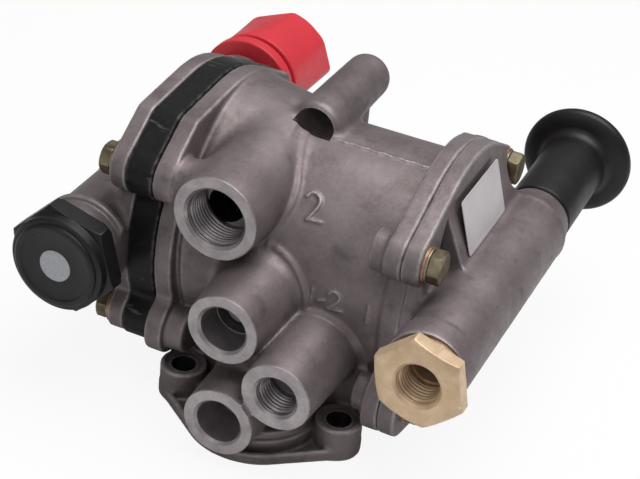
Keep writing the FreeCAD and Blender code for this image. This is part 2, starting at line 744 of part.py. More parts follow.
def left_cover():
    collar_back = EXHAUST_COLLAR_Y + EXHAUST_COLLAR_L
    pieces = [
        left_plate(COVER_X, SPACER_X, LEFT_LOW_LOBE_R),
        taper_x(PAN_R - PAN_TAPER, PAN_R, COVER_X - PAN_DEPTH, COVER_X),
        taper_y(
            EXHAUST_BOSS_R, EXHAUST_BOSS_ROOT_R, EXHAUST_FRONT_Y, EXHAUST_BACK_Y, EXHAUST_X, EXHAUST_Z
        ),
        rod_y(EXHAUST_COLLAR_R, EXHAUST_COLLAR_Y, collar_back, EXHAUST_X, EXHAUST_Z),
        rod_y(PARK_BOSS_R, EXHAUST_BORE_END_Y, PARK_BACK_Y, PARK_X, PARK_Z),
        block(
            PARK_X,
            COVER_X,
            PARK_WEB_FRONT_Y,
            PARK_WEB_BACK_Y,
            EXHAUST_Z - PARK_WEB_HALF_Z,
            PARK_Z + PARK_WEB_HALF_Z,
        ),
    ]
    ring_end = PARK_BACK_Y - PARK_MOUTH_L / 2
    tools = [
        rod_x(EXHAUST_CHAMBER_R, SPACER_X - EXHAUST_CHAMBER_DEPTH, SPACER_X),
        rod_y(EXHAUST_BORE_R, EXHAUST_FRONT_Y, EXHAUST_BORE_END_Y, EXHAUST_X, EXHAUST_Z),
        rod_y(CAP_THREAD_R, EXHAUST_FRONT_Y, EXHAUST_FRONT_Y + CAP_THREAD_L, EXHAUST_X, EXHAUST_Z),
        rod_x(EXHAUST_PASSAGE_R, EXHAUST_X, SPACER_X, EXHAUST_PASSAGE_Y, EXHAUST_Z),
        rod_y(PARK_BORE_R, PARK_START_Y, PARK_BACK_Y, PARK_X, PARK_Z),
        rod_y(PARK_MOUTH_R, PARK_BACK_Y - PARK_MOUTH_L, PARK_BACK_Y, PARK_X, PARK_Z),
        rod_y(PARK_MOUTH_R + SNAP_DEPTH, ring_end - SNAP_T - STATIC_GAP, ring_end, PARK_X, PARK_Z),
    ]
    for y, z in LEFT_BOLTS:
        tools.append(rod_x(BOLT_HOLE_R, COVER_X, SPACER_X, y, z))
        tools.append(rod_x(BOLT_WASHER_R + 2 * STATIC_GAP, EXHAUST_X, COVER_X, y, z))
    tools.append(face_groove(SPACER_X, DELIVERY_BORE_R + FACE_SEAL_GAP))
    tools.append(left_plate(SPACER_X, LEFT_FACE_X, LEFT_LOW_LOBE_R, SPACER_PROUD + SOFT_GAP))
    return without(joined(pieces), tools)


def shunt_tube():
    """Tube of the shunt valve: a slight draft, a rounded mouth and a collar behind the adapter."""
    rounding_y = SHUNT_MOUTH_Y - SHUNT_ROUNDING_L
    return joined(
        [
            taper_y(SHUNT_FRONT_R, SHUNT_BACK_R, SHUNT_FRONT_Y, rounding_y, SHUNT_X, SHUNT_Z),
            taper_y(SHUNT_BACK_R, SHUNT_MOUTH_OUTER_R, rounding_y, SHUNT_MOUTH_Y, SHUNT_X, SHUNT_Z),
            rod_y(
                SHUNT_COLLAR_R, SHUNT_FRONT_Y, SHUNT_COLLAR_BACK_Y, SHUNT_COLLAR_X, SHUNT_COLLAR_Z
            ),
        ]
    )


def right_cover():
    block_profile = [
        Vector(RIGHT_FACE_X, FACE_FRONT_Y, FACE_TOP_Z),
        Vector(FACE_TOP_X, FACE_FRONT_Y, FACE_TOP_Z),
        Vector(FACE_FOOT_X, FACE_FRONT_Y, FACE_FOOT_Z),
        Vector(SHUNT_X, FACE_FRONT_Y, SHUNT_Z),
        Vector(RIGHT_FACE_X, FACE_FRONT_Y, SHUNT_Z),
    ]
    sloped = prism(block_profile, Vector(0, FACE_BACK_Y - FACE_FRONT_Y, 0))
    crown = rod_x(RIGHT_TOP_R, RIGHT_FACE_X, SHUNT_X)
    pieces = [
        right_plate(RIGHT_FACE_X, PLATE_X),
        sloped.common(crown),
        shunt_tube(),
        block(
            RIGHT_FACE_X, SHUNT_X, WEB_FRONT_Y, WEB_BACK_Y, SHUNT_Z - WEB_HALF_Z, SHUNT_Z + WEB_HALF_Z
        ),
    ]
    tools = [
        rod_x(SHUNT_CHAMBER_R, RIGHT_FACE_X, RIGHT_FACE_X + SHUNT_CHAMBER_DEPTH),
        rod_y(SHUNT_BORE_R, SHUNT_FRONT_Y, SHUNT_MOUTH_Y, SHUNT_X, SHUNT_Z),
        rod_y(ADAPTER_THREAD_R, SHUNT_FRONT_Y, SHUNT_FRONT_Y + ADAPTER_THREAD_L, SHUNT_X, SHUNT_Z),
        rod_y(SHUNT_MOUTH_R, SHUNT_MOUTH_Y - SHUNT_MOUTH_L, SHUNT_MOUTH_Y, SHUNT_X, SHUNT_Z),
        rod_x(SHUNT_PASSAGE_R, RIGHT_FACE_X, SHUNT_X, SHUNT_PASSAGE_Y, SHUNT_Z),
        face_groove(RIGHT_FACE_X, SUPPLY_BORE_R + FACE_SEAL_GAP),
    ]
    for y, z in RIGHT_BOLTS:
        tools.append(rod_x(BOLT_HOLE_R, RIGHT_FACE_X, PLATE_X, y, z))
        tools.append(rod_x(BOLT_WASHER_R + 2 * STATIC_GAP, PLATE_X, SHUNT_X, y, z))
    return without(joined(pieces), tools)


def bolts(places, seat_x, tip_x, side):
    """Hexagon bolts whose washers sit on seat_x, with the head towards side (+1 or -1)."""
    shapes = []
    head_start = seat_x + side * BOLT_WASHER_T
    head_end = head_start + side * BOLT_HEAD_T
    for y, z in places:
        head = hexagon_x(BOLT_AF, min(head_start, head_end), max(head_start, head_end), y, z)
        shank = rod_x(BOLT_R, min(head_start, tip_x), max(head_start, tip_x), y, z)
        shapes.append(joined([head, shank]))
    return Part.makeCompound(shapes)


def washers(places, seat_x, side):
    shapes = []
    end = seat_x + side * BOLT_WASHER_T
    for y, z in places:
        disc = rod_x(BOLT_WASHER_R, min(seat_x, end), max(seat_x, end), y, z)
        hole = rod_x(BOLT_R + STATIC_GAP, min(seat_x, end), max(seat_x, end), y, z)
        shapes.append(disc.cut(hole))
    return Part.makeCompound(shapes)


def relay_piston():
    """Piston disc with its hollow rod on the left and its nose on the right."""
    disc = rod_x(DELIVERY_BORE_R - SLIDE_GAP, PISTON_X, PISTON_X + PISTON_T)
    nose_end = SEAT_X - TOUCH_GAP
    pieces = [
        disc,
        rod_x(PISTON_ROD_R, PISTON_ROD_LEFT_X, PISTON_X),
        rod_x(PISTON_NOSE_R, PISTON_X + PISTON_T, nose_end),
    ]
    groove = ring_groove(DELIVERY_BORE_R - SLIDE_GAP, PISTON_SEAL_R, PISTON_X + PISTON_T / 2)
    tools = [
        rod_x(PISTON_ROD_BORE_R, PISTON_ROD_LEFT_X, nose_end),
        groove,
        without(
            rod_x(PISTON_DISH_R, PISTON_X + PISTON_T / 2, PISTON_X + PISTON_T),
            [rod_x(PISTON_SPRING_R - 3 * PISTON_WIRE_R, PISTON_X, PISTON_X + PISTON_T)],
        ),
    ]
    return without(joined(pieces), tools)


def ring_groove(radius, section, x):
    """Groove round a disc on the main axis for a seal of this section."""
    half = section + STATIC_GAP
    outer = rod_x(radius + section, x - half, x + half)
    return outer.cut(rod_x(radius - 2 * section - STATIC_GAP, x - half, x + half))


def piston_seal():
    return seal_x(DELIVERY_BORE_R - PISTON_SEAL_R - TOUCH_GAP, PISTON_SEAL_R, PISTON_X + PISTON_T / 2)


def rod_seal():
    return seal_x(PISTON_ROD_R + SEAL_R + TOUCH_GAP, SEAL_R, SPACER_X + SPACER_T / 4)


def piston_spring():
    start = PISTON_X + PISTON_T / 2 + TOUCH_GAP
    length = PARTITION_X - start - TOUCH_GAP
    place = Vector(start, AXIS_Y, AXIS_Z)
    return coil(PISTON_SPRING_R, PISTON_WIRE_R, place, Vector(1, 0, 0), length, PISTON_SPRING_TURNS)


def valve_back_x():
    return SEAT_X + VALVE_FACE_T + VALVE_DISC_T


def inlet_valve():
    start = SEAT_X + VALVE_FACE_T
    stem_end = GUIDE_X + GUIDE_T + GUIDE_HUB_L
    return joined(
        [rod_x(VALVE_FACE_R, start, valve_back_x()), rod_x(VALVE_STEM_R, valve_back_x(), stem_end)]
    )


def inlet_valve_face():
    start = SEAT_X + TOUCH_GAP
    return rod_x(VALVE_FACE_R, start, SEAT_X + VALVE_FACE_T)


def valve_guide():
    """Disc with a hub that guides the inlet valve's stem, and holes for the air."""
    pieces = [
        rod_x(SUPPLY_BORE_R - STATIC_GAP, GUIDE_X, GUIDE_X + GUIDE_T),
        rod_x(GUIDE_HUB_R, GUIDE_X, GUIDE_X + GUIDE_T + GUIDE_HUB_L),
    ]
    tools = [rod_x(VALVE_STEM_R + SLIDE_GAP, GUIDE_X, GUIDE_X + GUIDE_T + GUIDE_HUB_L)]
    hole_circle = (GUIDE_HUB_R + SUPPLY_BORE_R) / 2
    for step in range(6):
        angle = math.radians(60 * step)
        y = AXIS_Y + hole_circle * math.cos(angle)
        z = AXIS_Z + hole_circle * math.sin(angle)
        tools.append(rod_x(FEED_R, GUIDE_X, GUIDE_X + GUIDE_T, y, z))
    return without(joined(pieces), tools)


def valve_spring():
    start = valve_back_x() + TOUCH_GAP
    length = GUIDE_X - start - TOUCH_GAP
    place = Vector(start, AXIS_Y, AXIS_Z)
    return coil(VALVE_SPRING_R, VALVE_WIRE_R, place, Vector(1, 0, 0), length, VALVE_SPRING_TURNS)


def split_ring(outer_r, inner_r, thickness, start, direction, gap_direction):
    """A snap ring with a gap for its ends."""
    ring = Part.makeCylinder(outer_r, thickness, start, direction)
    ring = ring.cut(Part.makeCylinder(inner_r, thickness, start, direction))
    width = outer_r * RING_GAP_SHARE
    across = direction.cross(gap_direction)
    corner = start - across * (width / 2)
    far = outer_r * 2
    near_end = corner + across * width
    far_end = near_end + gap_direction * far
    points = [corner, near_end, far_end, corner + gap_direction * far]
    return ring.cut(prism(points, direction * thickness))


def guide_rings():
    """The two snap rings that hold the valve guide in its bore."""
    outer = SUPPLY_BORE_R + SNAP_DEPTH - STATIC_GAP
    inner = SUPPLY_BORE_R - 2 * SNAP_DEPTH
    rings = []
    for x in (GUIDE_X - SNAP_T - STATIC_GAP / 2, guide_end_x() + STATIC_GAP / 2):
        rings.append(
            split_ring(outer, inner, SNAP_T, Vector(x, AXIS_Y, AXIS_Z), Vector(1, 0, 0), Vector(0, 0, 1))
        )
    return Part.makeCompound(rings)


def check_seat():
    hole = rod_y(CHECK_OPENING_R, CHECK_STEP_Y, CHECK_SEAT_Y, PORT_12_X, PORT_12_Z)
    body = rod_y(CHECK_SEAT_R - TOUCH_GAP, CHECK_STEP_Y, CHECK_SEAT_Y, PORT_12_X, PORT_12_Z)
    return body.cut(hole)


def check_poppet():
    start = CHECK_SEAT_Y + TOUCH_GAP
    return joined(
        [
            rod_y(CHECK_DISC_R, start, start + CHECK_DISC_T, PORT_12_X, PORT_12_Z),
            rod_y(CHECK_STEM_R, start, start + CHECK_DISC_T + CHECK_STROKE, PORT_12_X, PORT_12_Z),
        ]
    )


def check_spring():
    start = CHECK_SEAT_Y + CHECK_DISC_T + 2 * TOUCH_GAP
    length = CHECK_SEAT_Y + CHECK_CHAMBER_L - start - TOUCH_GAP
    place = Vector(PORT_12_X, start, PORT_12_Z)
    return coil(CHECK_SPRING_R, CHECK_WIRE_R, place, Vector(0, 1, 0), length, CHECK_SPRING_TURNS)


def gallery_plug():
    disc = rod_z(GALLERY_R - STATIC_GAP, PLUG_Z, PLUG_Z + PLUG_T, 0, 0)
    middle = PLUG_Z + PLUG_T / 2
    half = SEAL_R + STATIC_GAP
    groove = rod_z(GALLERY_R + SEAL_R, middle - half, middle + half, 0, 0)
    core = rod_z(GALLERY_R - 2 * SEAL_R - STATIC_GAP, middle - half, middle + half, 0, 0)
    return disc.cut(groove.cut(core))


def gallery_plug_seal():
    return Part.makeTorus(
        GALLERY_R - SEAL_R - TOUCH_GAP, SEAL_R, Vector(0, 0, PLUG_Z + PLUG_T / 2), Vector(0, 0, 1)
    )


def gallery_plug_ring():
    return split_ring(
        GALLERY_R + SNAP_DEPTH - STATIC_GAP,
        GALLERY_R - 1.5 * SNAP_DEPTH,
        SNAP_T,
        Vector(0, 0, PLUG_Z - SNAP_T - STATIC_GAP / 2),
        Vector(0, 0, 1),
        Vector(0, 1, 0),
    )


def spool(bore_r, start, end, x, z, lands, neck_r):
    """Valve spool along Y: full lands, each with a seal groove, joined by a thinner neck."""
    pieces = [rod_y(neck_r, start, end, x, z)]
    for land in lands:
        pieces.append(rod_y(bore_r - SLIDE_GAP, land - LAND_L / 2, land + LAND_L / 2, x, z))
    tools = []
    half = SEAL_R + STATIC_GAP
    for land in lands:
        ring = rod_y(bore_r + SEAL_R, land - half, land + half, x, z)
        core = rod_y(bore_r - 2 * SEAL_R - STATIC_GAP, land - half, land + half, x, z)
        tools.append(ring.cut(core))
    return without(joined(pieces), tools)


def spool_seals(bore_r, x, z, lands):
    return Part.makeCompound(
        [seal_y(bore_r - SEAL_R - TOUCH_GAP, SEAL_R, land, x, z) for land in lands]
    )


def land_places(start, end, count):
    """Evenly spaced seal lands between two ends, clear of both."""
    margin = SEAL_R * 3
    step = (end - start - 2 * margin) / (count - 1)
    return [start + margin + step * number for number in range(count)]


SHUNT_SPOOL_START_Y = SHUNT_FRONT_Y + ADAPTER_THREAD_L + SOFT_GAP
SHUNT_LANDS = land_places(SHUNT_SPOOL_START_Y, SHUNT_MOUTH_Y - SHUNT_MOUTH_L - SHUNT_STROKE, 4)
PARK_SPOOL_START_Y = PARK_START_Y + PARK_STROKE / 2
PARK_LANDS = land_places(PARK_SPOOL_START_Y, PARK_BACK_Y - PARK_MOUTH_L - PARK_STROKE, 4)
BLACK_START_Y = SHUNT_MOUTH_Y + BLACK_GAP
RED_START_Y = PARK_BACK_Y + RED_GAP


def shunt_spool():
    neck_r = SHUNT_BORE_R - 2 * SEAL_R - STATIC_GAP
    end = BLACK_START_Y + KNOB_SOCKET_L
    return spool(SHUNT_BORE_R, SHUNT_SPOOL_START_Y, end, SHUNT_X, SHUNT_Z, SHUNT_LANDS, neck_r)


def park_spool():
    neck_r = PARK_BORE_R - 2 * SEAL_R - STATIC_GAP
    return spool(
        PARK_BORE_R, PARK_SPOOL_START_Y, RED_START_Y + KNOB_SOCKET_L, PARK_X, PARK_Z, PARK_LANDS, neck_r
    )


def mouth_bush(bore_r, mouth_r, back_y, length, x, z):
    """Bush pressed into a valve's mouth, which the spool's neck runs through."""
    neck_r = bore_r - 2 * SEAL_R - STATIC_GAP
    outer = rod_y(mouth_r - TOUCH_GAP, back_y - length, back_y, x, z)
    return outer.cut(rod_y(neck_r + SLIDE_GAP, back_y - length, back_y, x, z))


def shunt_bush():
    return mouth_bush(SHUNT_BORE_R, SHUNT_MOUTH_R, SHUNT_MOUTH_Y, SHUNT_MOUTH_L, SHUNT_X, SHUNT_Z)


def park_bush():
    length = PARK_MOUTH_L / 2 - SNAP_T - STATIC_GAP
    return mouth_bush(
        PARK_BORE_R, PARK_MOUTH_R, PARK_BACK_Y - PARK_MOUTH_L + length, length, PARK_X, PARK_Z
    )


def park_snap_ring():
    start = PARK_BACK_Y - PARK_MOUTH_L / 2 - SNAP_T - STATIC_GAP / 2
    return split_ring(
        PARK_MOUTH_R + SNAP_DEPTH - STATIC_GAP,
        PARK_MOUTH_R - 2 * SNAP_DEPTH,
        SNAP_T,
        Vector(PARK_X, start, PARK_Z),
        Vector(0, 1, 0),
        Vector(0, 0, 1),
    )


def knob_socket(bore_r, start, x, z):
    neck_r = bore_r - 2 * SEAL_R - STATIC_GAP
    return rod_y(neck_r + TOUCH_GAP, start, start + KNOB_SOCKET_L + TOUCH_GAP, x, z)


def black_knob():
    """Mushroom knob: stem, flared neck, disc with a rounded rim and a low dome."""
    flare_y = BLACK_START_Y + BLACK_STEM_L
    profile = [(0, BLACK_START_Y), (BLACK_STEM_R, BLACK_START_Y), (BLACK_STEM_R, flare_y)]
    for step in range(1, 7):
        angle = math.radians(15 * step)
        radius = BLACK_STEM_R + (BLACK_DISC_R - BLACK_STEM_R) * (1 - math.cos(angle))
        profile.append((radius, flare_y + BLACK_FLARE_L * math.sin(angle)))
    rim_y = flare_y + BLACK_FLARE_L + BLACK_RIM_T
    profile.append((BLACK_DISC_R, rim_y))
    for step in range(1, 7):
        angle = math.radians(15 * step)
        profile.append((BLACK_DISC_R * math.cos(angle), rim_y + BLACK_DOME * math.sin(angle)))
    knob = turned_y(profile, SHUNT_X, SHUNT_Z)
    return knob.cut(knob_socket(SHUNT_BORE_R, BLACK_START_Y, SHUNT_X, SHUNT_Z))


def grip_outline(y, long_half, short_half):
    """Oval across the red knob's axis, its long side turned by RED_TURN."""
    turn = math.radians(RED_TURN)
    long_way = Vector(math.cos(turn), 0, -math.sin(turn))
    short_way = Vector(math.sin(turn), 0, math.cos(turn))
    centre = Vector(PARK_X, y, PARK_Z)
    oval = Part.Ellipse(centre + long_way * long_half, centre + short_way * short_half, centre)
    return Part.Wire(oval.toShape())


def red_knob():
    """Park knob: round base, finger groove and a grip that turns from nearly round to oval."""
    groove_y = RED_START_Y + RED_BASE_T
    body_y = groove_y + RED_GROOVE_T
    end_y = body_y + RED_BODY_L
    grip = Part.makeLoft(
        [
            grip_outline(body_y, RED_FRONT_R, RED_FRONT_R - SOFT_GAP),
            grip_outline(end_y, RED_LONG / 2, RED_SHORT / 2),
        ],
        True,
    )
    end = [edge for edge in grip.Edges if edge.BoundBox.YMin > end_y - TOUCH_GAP]
    knob = joined(
        [
            rod_y(RED_BASE_R, RED_START_Y, groove_y, PARK_X, PARK_Z),
            rod_y(RED_GROOVE_R, groove_y, body_y, PARK_X, PARK_Z),
            grip.makeFillet(RED_ROUNDING, end),
        ]
    )
    return knob.cut(knob_socket(PARK_BORE_R, RED_START_Y, PARK_X, PARK_Z))


CAP_FACE_Y = EXHAUST_FRONT_Y - WASHER_T
CAP_FRONT_Y = CAP_FACE_Y - CAP_HEX_L - CAP_ROUND_L - CAP_RIM_L


def cap_housing():
    """Black exhaust cap: threaded spigot, hexagon, round step and rim."""
    hex_start = CAP_FACE_Y - CAP_HEX_L
    round_start = hex_start - CAP_ROUND_L
    spigot_end = EXHAUST_FRONT_Y + CAP_THREAD_L
    pieces = [
        rod_y(CAP_THREAD_R - TOUCH_GAP, CAP_FACE_Y, spigot_end, EXHAUST_X, EXHAUST_Z),
        hexagon_y(CAP_HEX_AF, hex_start, CAP_FACE_Y, EXHAUST_X, EXHAUST_Z, CAP_HEX_TURN),
        rod_y(CAP_ROUND_R, round_start, hex_start, EXHAUST_X, EXHAUST_Z),
        rod_y(CAP_RIM_R, CAP_FRONT_Y, round_start, EXHAUST_X, EXHAUST_Z),
    ]
    tools = [
        rod_y(CAP_DISH_R, CAP_FRONT_Y, CAP_FRONT_Y + CAP_DISH_DEPTH, EXHAUST_X, EXHAUST_Z),
        rod_y(CAP_HOLE_R, CAP_FRONT_Y, spigot_end, EXHAUST_X, EXHAUST_Z),
    ]
    return without(joined(pieces), tools)


def cap_silencer():
    """Pale porous plug in the middle of the exhaust cap."""
    start = CAP_FRONT_Y + CAP_DISH_DEPTH - STATIC_GAP
    return rod_y(CAP_HOLE_R - TOUCH_GAP, start, start + CAP_PLUG_DEPTH, EXHAUST_X, EXHAUST_Z)


def cap_washer():
    outer = rod_y(EXHAUST_BOSS_R, CAP_FACE_Y, EXHAUST_FRONT_Y, EXHAUST_X, EXHAUST_Z)
    hole = rod_y(CAP_THREAD_R + STATIC_GAP, CAP_FACE_Y, EXHAUST_FRONT_Y, EXHAUST_X, EXHAUST_Z)
    return outer.cut(hole)


ADAPTER_SEAT_Y = SHUNT_FRONT_Y - WASHER_T
ADAPTER_FRONT_Y = ADAPTER_SEAT_Y - ADAPTER_HEX_L


def brass_adapter():
    """Hexagon adapter with a threaded socket at the front and a spigot in the tube."""
    spigot_end = SHUNT_FRONT_Y + ADAPTER_THREAD_L
    pieces = [
        hexagon_y(ADAPTER_AF, ADAPTER_FRONT_Y, ADAPTER_SEAT_Y, SHUNT_X, SHUNT_Z, ADAPTER_TURN),
        rod_y(ADAPTER_THREAD_R - TOUCH_GAP, ADAPTER_SEAT_Y, spigot_end, SHUNT_X, SHUNT_Z),
    ]
    tools = [
        port_hole(ADAPTER_SOCKET_R, ADAPTER_SOCKET_L, SHUNT_X, ADAPTER_FRONT_Y, SHUNT_Z),
        rod_y(ADAPTER_THROUGH_R, ADAPTER_FRONT_Y, spigot_end, SHUNT_X, SHUNT_Z),
    ]
    return without(joined(pieces), tools)


def adapter_washer():
    outer = rod_y(SHUNT_FRONT_R, ADAPTER_SEAT_Y, SHUNT_FRONT_Y, SHUNT_X, SHUNT_Z)
    hole = rod_y(ADAPTER_THREAD_R + STATIC_GAP, ADAPTER_SEAT_Y, SHUNT_FRONT_Y, SHUNT_X, SHUNT_Z)
    return outer.cut(hole)


def label_plate():
    """Bare plate that lies on the sloped face of the right cover."""
    slope = Vector(FACE_FOOT_X - FACE_TOP_X, 0, FACE_FOOT_Z - FACE_TOP_Z).normalize()
    outward = Vector(-slope.z, 0, slope.x)
    corner = Vector(FACE_TOP_X, LABEL_CENTRE_Y - LABEL_W / 2, FACE_TOP_Z) + slope * LABEL_DROP
    across = Vector(0, LABEL_W, 0)
    points = [corner, corner + across, corner + across + slope * LABEL_H, corner + slope * LABEL_H]
    return prism(points, outward * LABEL_T)


def left_bolts():
    return bolts(LEFT_BOLTS, COVER_X, LEFT_FACE_X + LEFT_FLANGE_T + LEFT_BOLT_TIP, -1)


def right_bolts():
    tip = RIGHT_FACE_X - RIGHT_FLANGE_T - RIGHT_BOSS_L + 2 * RIGHT_BOLT_TIP
    return bolts(RIGHT_BOLTS, PLATE_X, tip, 1)


PARTS = {
    "main_body": main_body,
    "spacer_plate": spacer_plate,
    "left_cover": left_cover,
    "right_cover": right_cover,
    "left_bolts": left_bolts,
    "left_washers": lambda: washers(LEFT_BOLTS, COVER_X, -1),
    "right_bolts": right_bolts,
    "right_washers": lambda: washers(RIGHT_BOLTS, PLATE_X, 1),
    "spacer_seal_left": lambda: seal_x(DELIVERY_BORE_R + FACE_SEAL_GAP, FACE_SEAL_R, SPACER_X),
    "spacer_seal_right": lambda: seal_x(DELIVERY_BORE_R + FACE_SEAL_GAP, FACE_SEAL_R, LEFT_FACE_X),
    "right_cover_seal": lambda: seal_x(SUPPLY_BORE_R + FACE_SEAL_GAP, FACE_SEAL_R, RIGHT_FACE_X),
    "relay_piston": relay_piston,
    "piston_seal": piston_seal,
    "piston_rod_seal": rod_seal,
    "piston_spring": piston_spring,
    "inlet_valve": inlet_valve,
    "inlet_valve_face": inlet_valve_face,
    "valve_guide": valve_guide,
    "valve_spring": valve_spring,
    "guide_snap_rings": guide_rings,
    "check_valve_seat": check_seat,
    "check_valve_poppet": check_poppet,
    "check_valve_spring": check_spring,
    "gallery_plug": gallery_plug,
    "gallery_plug_seal": gallery_plug_seal,
    "gallery_plug_ring": gallery_plug_ring,
    "shunt_spool": shunt_spool,
    "shunt_spool_seals": lambda: spool_seals(SHUNT_BORE_R, SHUNT_X, SHUNT_Z, SHUNT_LANDS),
    "shunt_bush": shunt_bush,
    "shunt_knob": black_knob,
    "brass_adapter": brass_adapter,
    "adapter_washer": adapter_washer,
    "park_spool": park_spool,
    "park_spool_seals": lambda: spool_seals(PARK_BORE_R, PARK_X, PARK_Z, PARK_LANDS),
    "park_bush": park_bush,
    "park_snap_ring": park_snap_ring,
    "park_knob": red_knob,
    "exhaust_cap": cap_housing,
    "exhaust_silencer": cap_silencer,
    "exhaust_cap_washer": cap_washer,
    "label_plate": label_plate,
}

os.makedirs("parts", exist_ok=True)
for name, build in PARTS.items():
    build().exportStep(f"parts/{name}.step")
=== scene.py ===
import json
import math

import bpy
import numpy as np
from mathutils import Matrix, Vector


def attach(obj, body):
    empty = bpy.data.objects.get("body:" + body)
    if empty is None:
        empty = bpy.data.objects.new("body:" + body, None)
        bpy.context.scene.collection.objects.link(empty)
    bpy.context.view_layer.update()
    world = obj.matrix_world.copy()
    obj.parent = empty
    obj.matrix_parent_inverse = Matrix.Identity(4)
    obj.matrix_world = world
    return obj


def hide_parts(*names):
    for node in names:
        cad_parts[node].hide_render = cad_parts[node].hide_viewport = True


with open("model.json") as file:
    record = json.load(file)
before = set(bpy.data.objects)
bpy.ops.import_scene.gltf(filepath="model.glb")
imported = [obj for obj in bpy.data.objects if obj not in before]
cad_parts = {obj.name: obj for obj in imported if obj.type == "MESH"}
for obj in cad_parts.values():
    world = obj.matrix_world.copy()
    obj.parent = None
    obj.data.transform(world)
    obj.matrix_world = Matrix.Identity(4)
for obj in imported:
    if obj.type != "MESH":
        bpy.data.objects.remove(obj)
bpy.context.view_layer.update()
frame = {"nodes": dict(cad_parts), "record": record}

# Sizes are in millimetres in the same frame as the CAD, and meshes are scaled to metres when made
MM = 0.001

# Main axis and body
AXIS_Y, AXIS_Z = 43.0, 50.0
BODY_R = 39.5
CREST_Y, CREST_Z = 44.0, 52.0
LEFT_FACE_X, RIGHT_FACE_X = -42.0, 44.0
PAD_R, PAD_END_R, PAD_SHIFT_Y, PAD_SHIFT_Z, PAD_END_X = 41.5, 36.5, 3.0, 8.0, -12.0
LEFT_FLANGE_T, RIGHT_FLANGE_T = 6.5, 6.0
SHOULDER_R, SHOULDER_L, SHOULDER_GAP, SHOULDER_RAISE, GROOVE_DEPTH = 43.5, 14.0, 2.0, 3.0, 2.6
DELIVERY_BORE_R, SUPPLY_BORE_R = 34.0, 29.5
PARTITION_X, PARTITION_END_X = -12.0, -7.0
VALVE_OPENING_R = 9.0
SPACER_X, COVER_X = -52.0, -58.0
SPACER_PROUD = 0.4
PLATE_X = 50.0

# Flange outlines: crown radii above and below, waist, bolts about the main axis, lobe radii
LEFT_TOP_R, LEFT_BOTTOM_R, LEFT_WAIST_R = 50.0, 46.5, 44.5
LEFT_BOLTS = [(y, AXIS_Z + 2.0 + up * 28.8) for y in (AXIS_Y - 39.5, AXIS_Y + 36.5) for up in (-1, 1)]
LEFT_LOBE_R, LEFT_BACK_LOBE_R, LEFT_LOW_LOBE_R, LEFT_FOOT_LOBE_R = 8.6, 6.0, 7.2, 10.2
LEFT_CORNER_R, LEFT_CORNER_TURN = 6.3, 123.5
RIGHT_TOP_R, RIGHT_BOTTOM_R, RIGHT_WAIST_R = 48.0, 47.0, 40.0
RIGHT_BOLTS = [(y, AXIS_Z + up * 27.6) for y in (AXIS_Y - 37.4, AXIS_Y + 35.0) for up in (-1, 1)]
RIGHT_FRONT_LOBE_R, RIGHT_BACK_LOBE_R, RIGHT_FOOT_LOBE_R = 8.0, 7.0, 11.5
BOLT_BOSS_R, BOLT_BOSS_L = (8.0, 7.0), (7.0, 5.5)

# Ports: centre of the face, then the radii of face and root
PORT_2, PORT_2_R, PORT_2_ROOT_R = (-17.5, -8.0, 78.0), 14.75, 16.9
PORT_12, PORT_12_R, PORT_12_ROOT_R = (-5.2, -22.8, 48.4), 12.3, 16.2
LOWER_LEFT, LOWER_LEFT_R, LOWER_LEFT_ROOT_R = (-1.7, -28.9, 16.8), 12.3, 12.9
LOWER_RIGHT, LOWER_RIGHT_R, LOWER_RIGHT_ROOT_R = (17.1, -27.6, 33.7), 12.0, 15.2
PORT_2_THREAD_R, LOWER_RIGHT_THREAD_R = 10.2, 7.0
PORT_12_BORE_R, LOWER_LEFT_BORE_R = 8.0, 7.8
THREAD_DEPTH, THREAD_PITCH = 0.75, 1.5

# Gallery, base flange and webs
GALLERY_R, GALLERY_TOP_Z = 14.4, 40.0
WEB_X, SIDE_WEB_LOW, SIDE_WEB_HIGH = (-13, 9), (-33, 7.5, 3), (34, 13.5, GALLERY_TOP_Z)
FOOT_R, FOOT_Z = 20.5, 10.0
STEP_R, STEP_Z = 22.0, 7.5
BASE_R, BASE_T, BASE_RIM, BASE_FLOOR = 25.6, 4.5, 2.0, 2.0
EAR_X, EAR_R, EAR_T = 29.3, 8.0, 12.0
EAR_SPOT_R, EAR_SPOT_Z, EAR_HOLE_R = 6.6, 11.2, 4.3
GALLERY_BORE_R, GALLERY_END_Z = 11.0, 34.0
REGISTER_R, REGISTER_Z = 15.0, 3.0

# Vent tube
TUBE_X, TUBE_Z = -6.3, 92.2
TUBE_FRONT_Y, TUBE_BACK_Y = 40.0, 88.0
TUBE_FRONT_R, TUBE_BACK_R, TUBE_BORE_R, TUBE_BORE_END_Y = 9.0, 8.3, 7.2, 76.0
TUBE_WEB_T, TUBE_WEB_Z = 3.0, 58

# Left cover
PAN_R, PAN_DEPTH = 41.0, 3.5
PARK_X, PARK_Z, PARK_R = -65.5, 59.5, 14.0
PARK_START_Y, PARK_BACK_Y, PARK_BORE_R, PARK_MOUTH_R, PARK_MOUTH_L = 32.0, 108.5, 8.0, 10.5, 8.0
EXHAUST_X, EXHAUST_Z = -66.0, 52.0
EXHAUST_FRONT_Y, EXHAUST_BACK_Y, EXHAUST_R, EXHAUST_ROOT_R = -11.8, 36.0, 15.0, 15.2
EXHAUST_COLLAR_R, EXHAUST_COLLAR_Y, EXHAUST_COLLAR_L = 16.6, -6.0, 3.0
EXHAUST_BORE_R, EXHAUST_END_Y, CAP_THREAD_R, CAP_THREAD_L = 7.0, 27.0, 11.0, 12.0

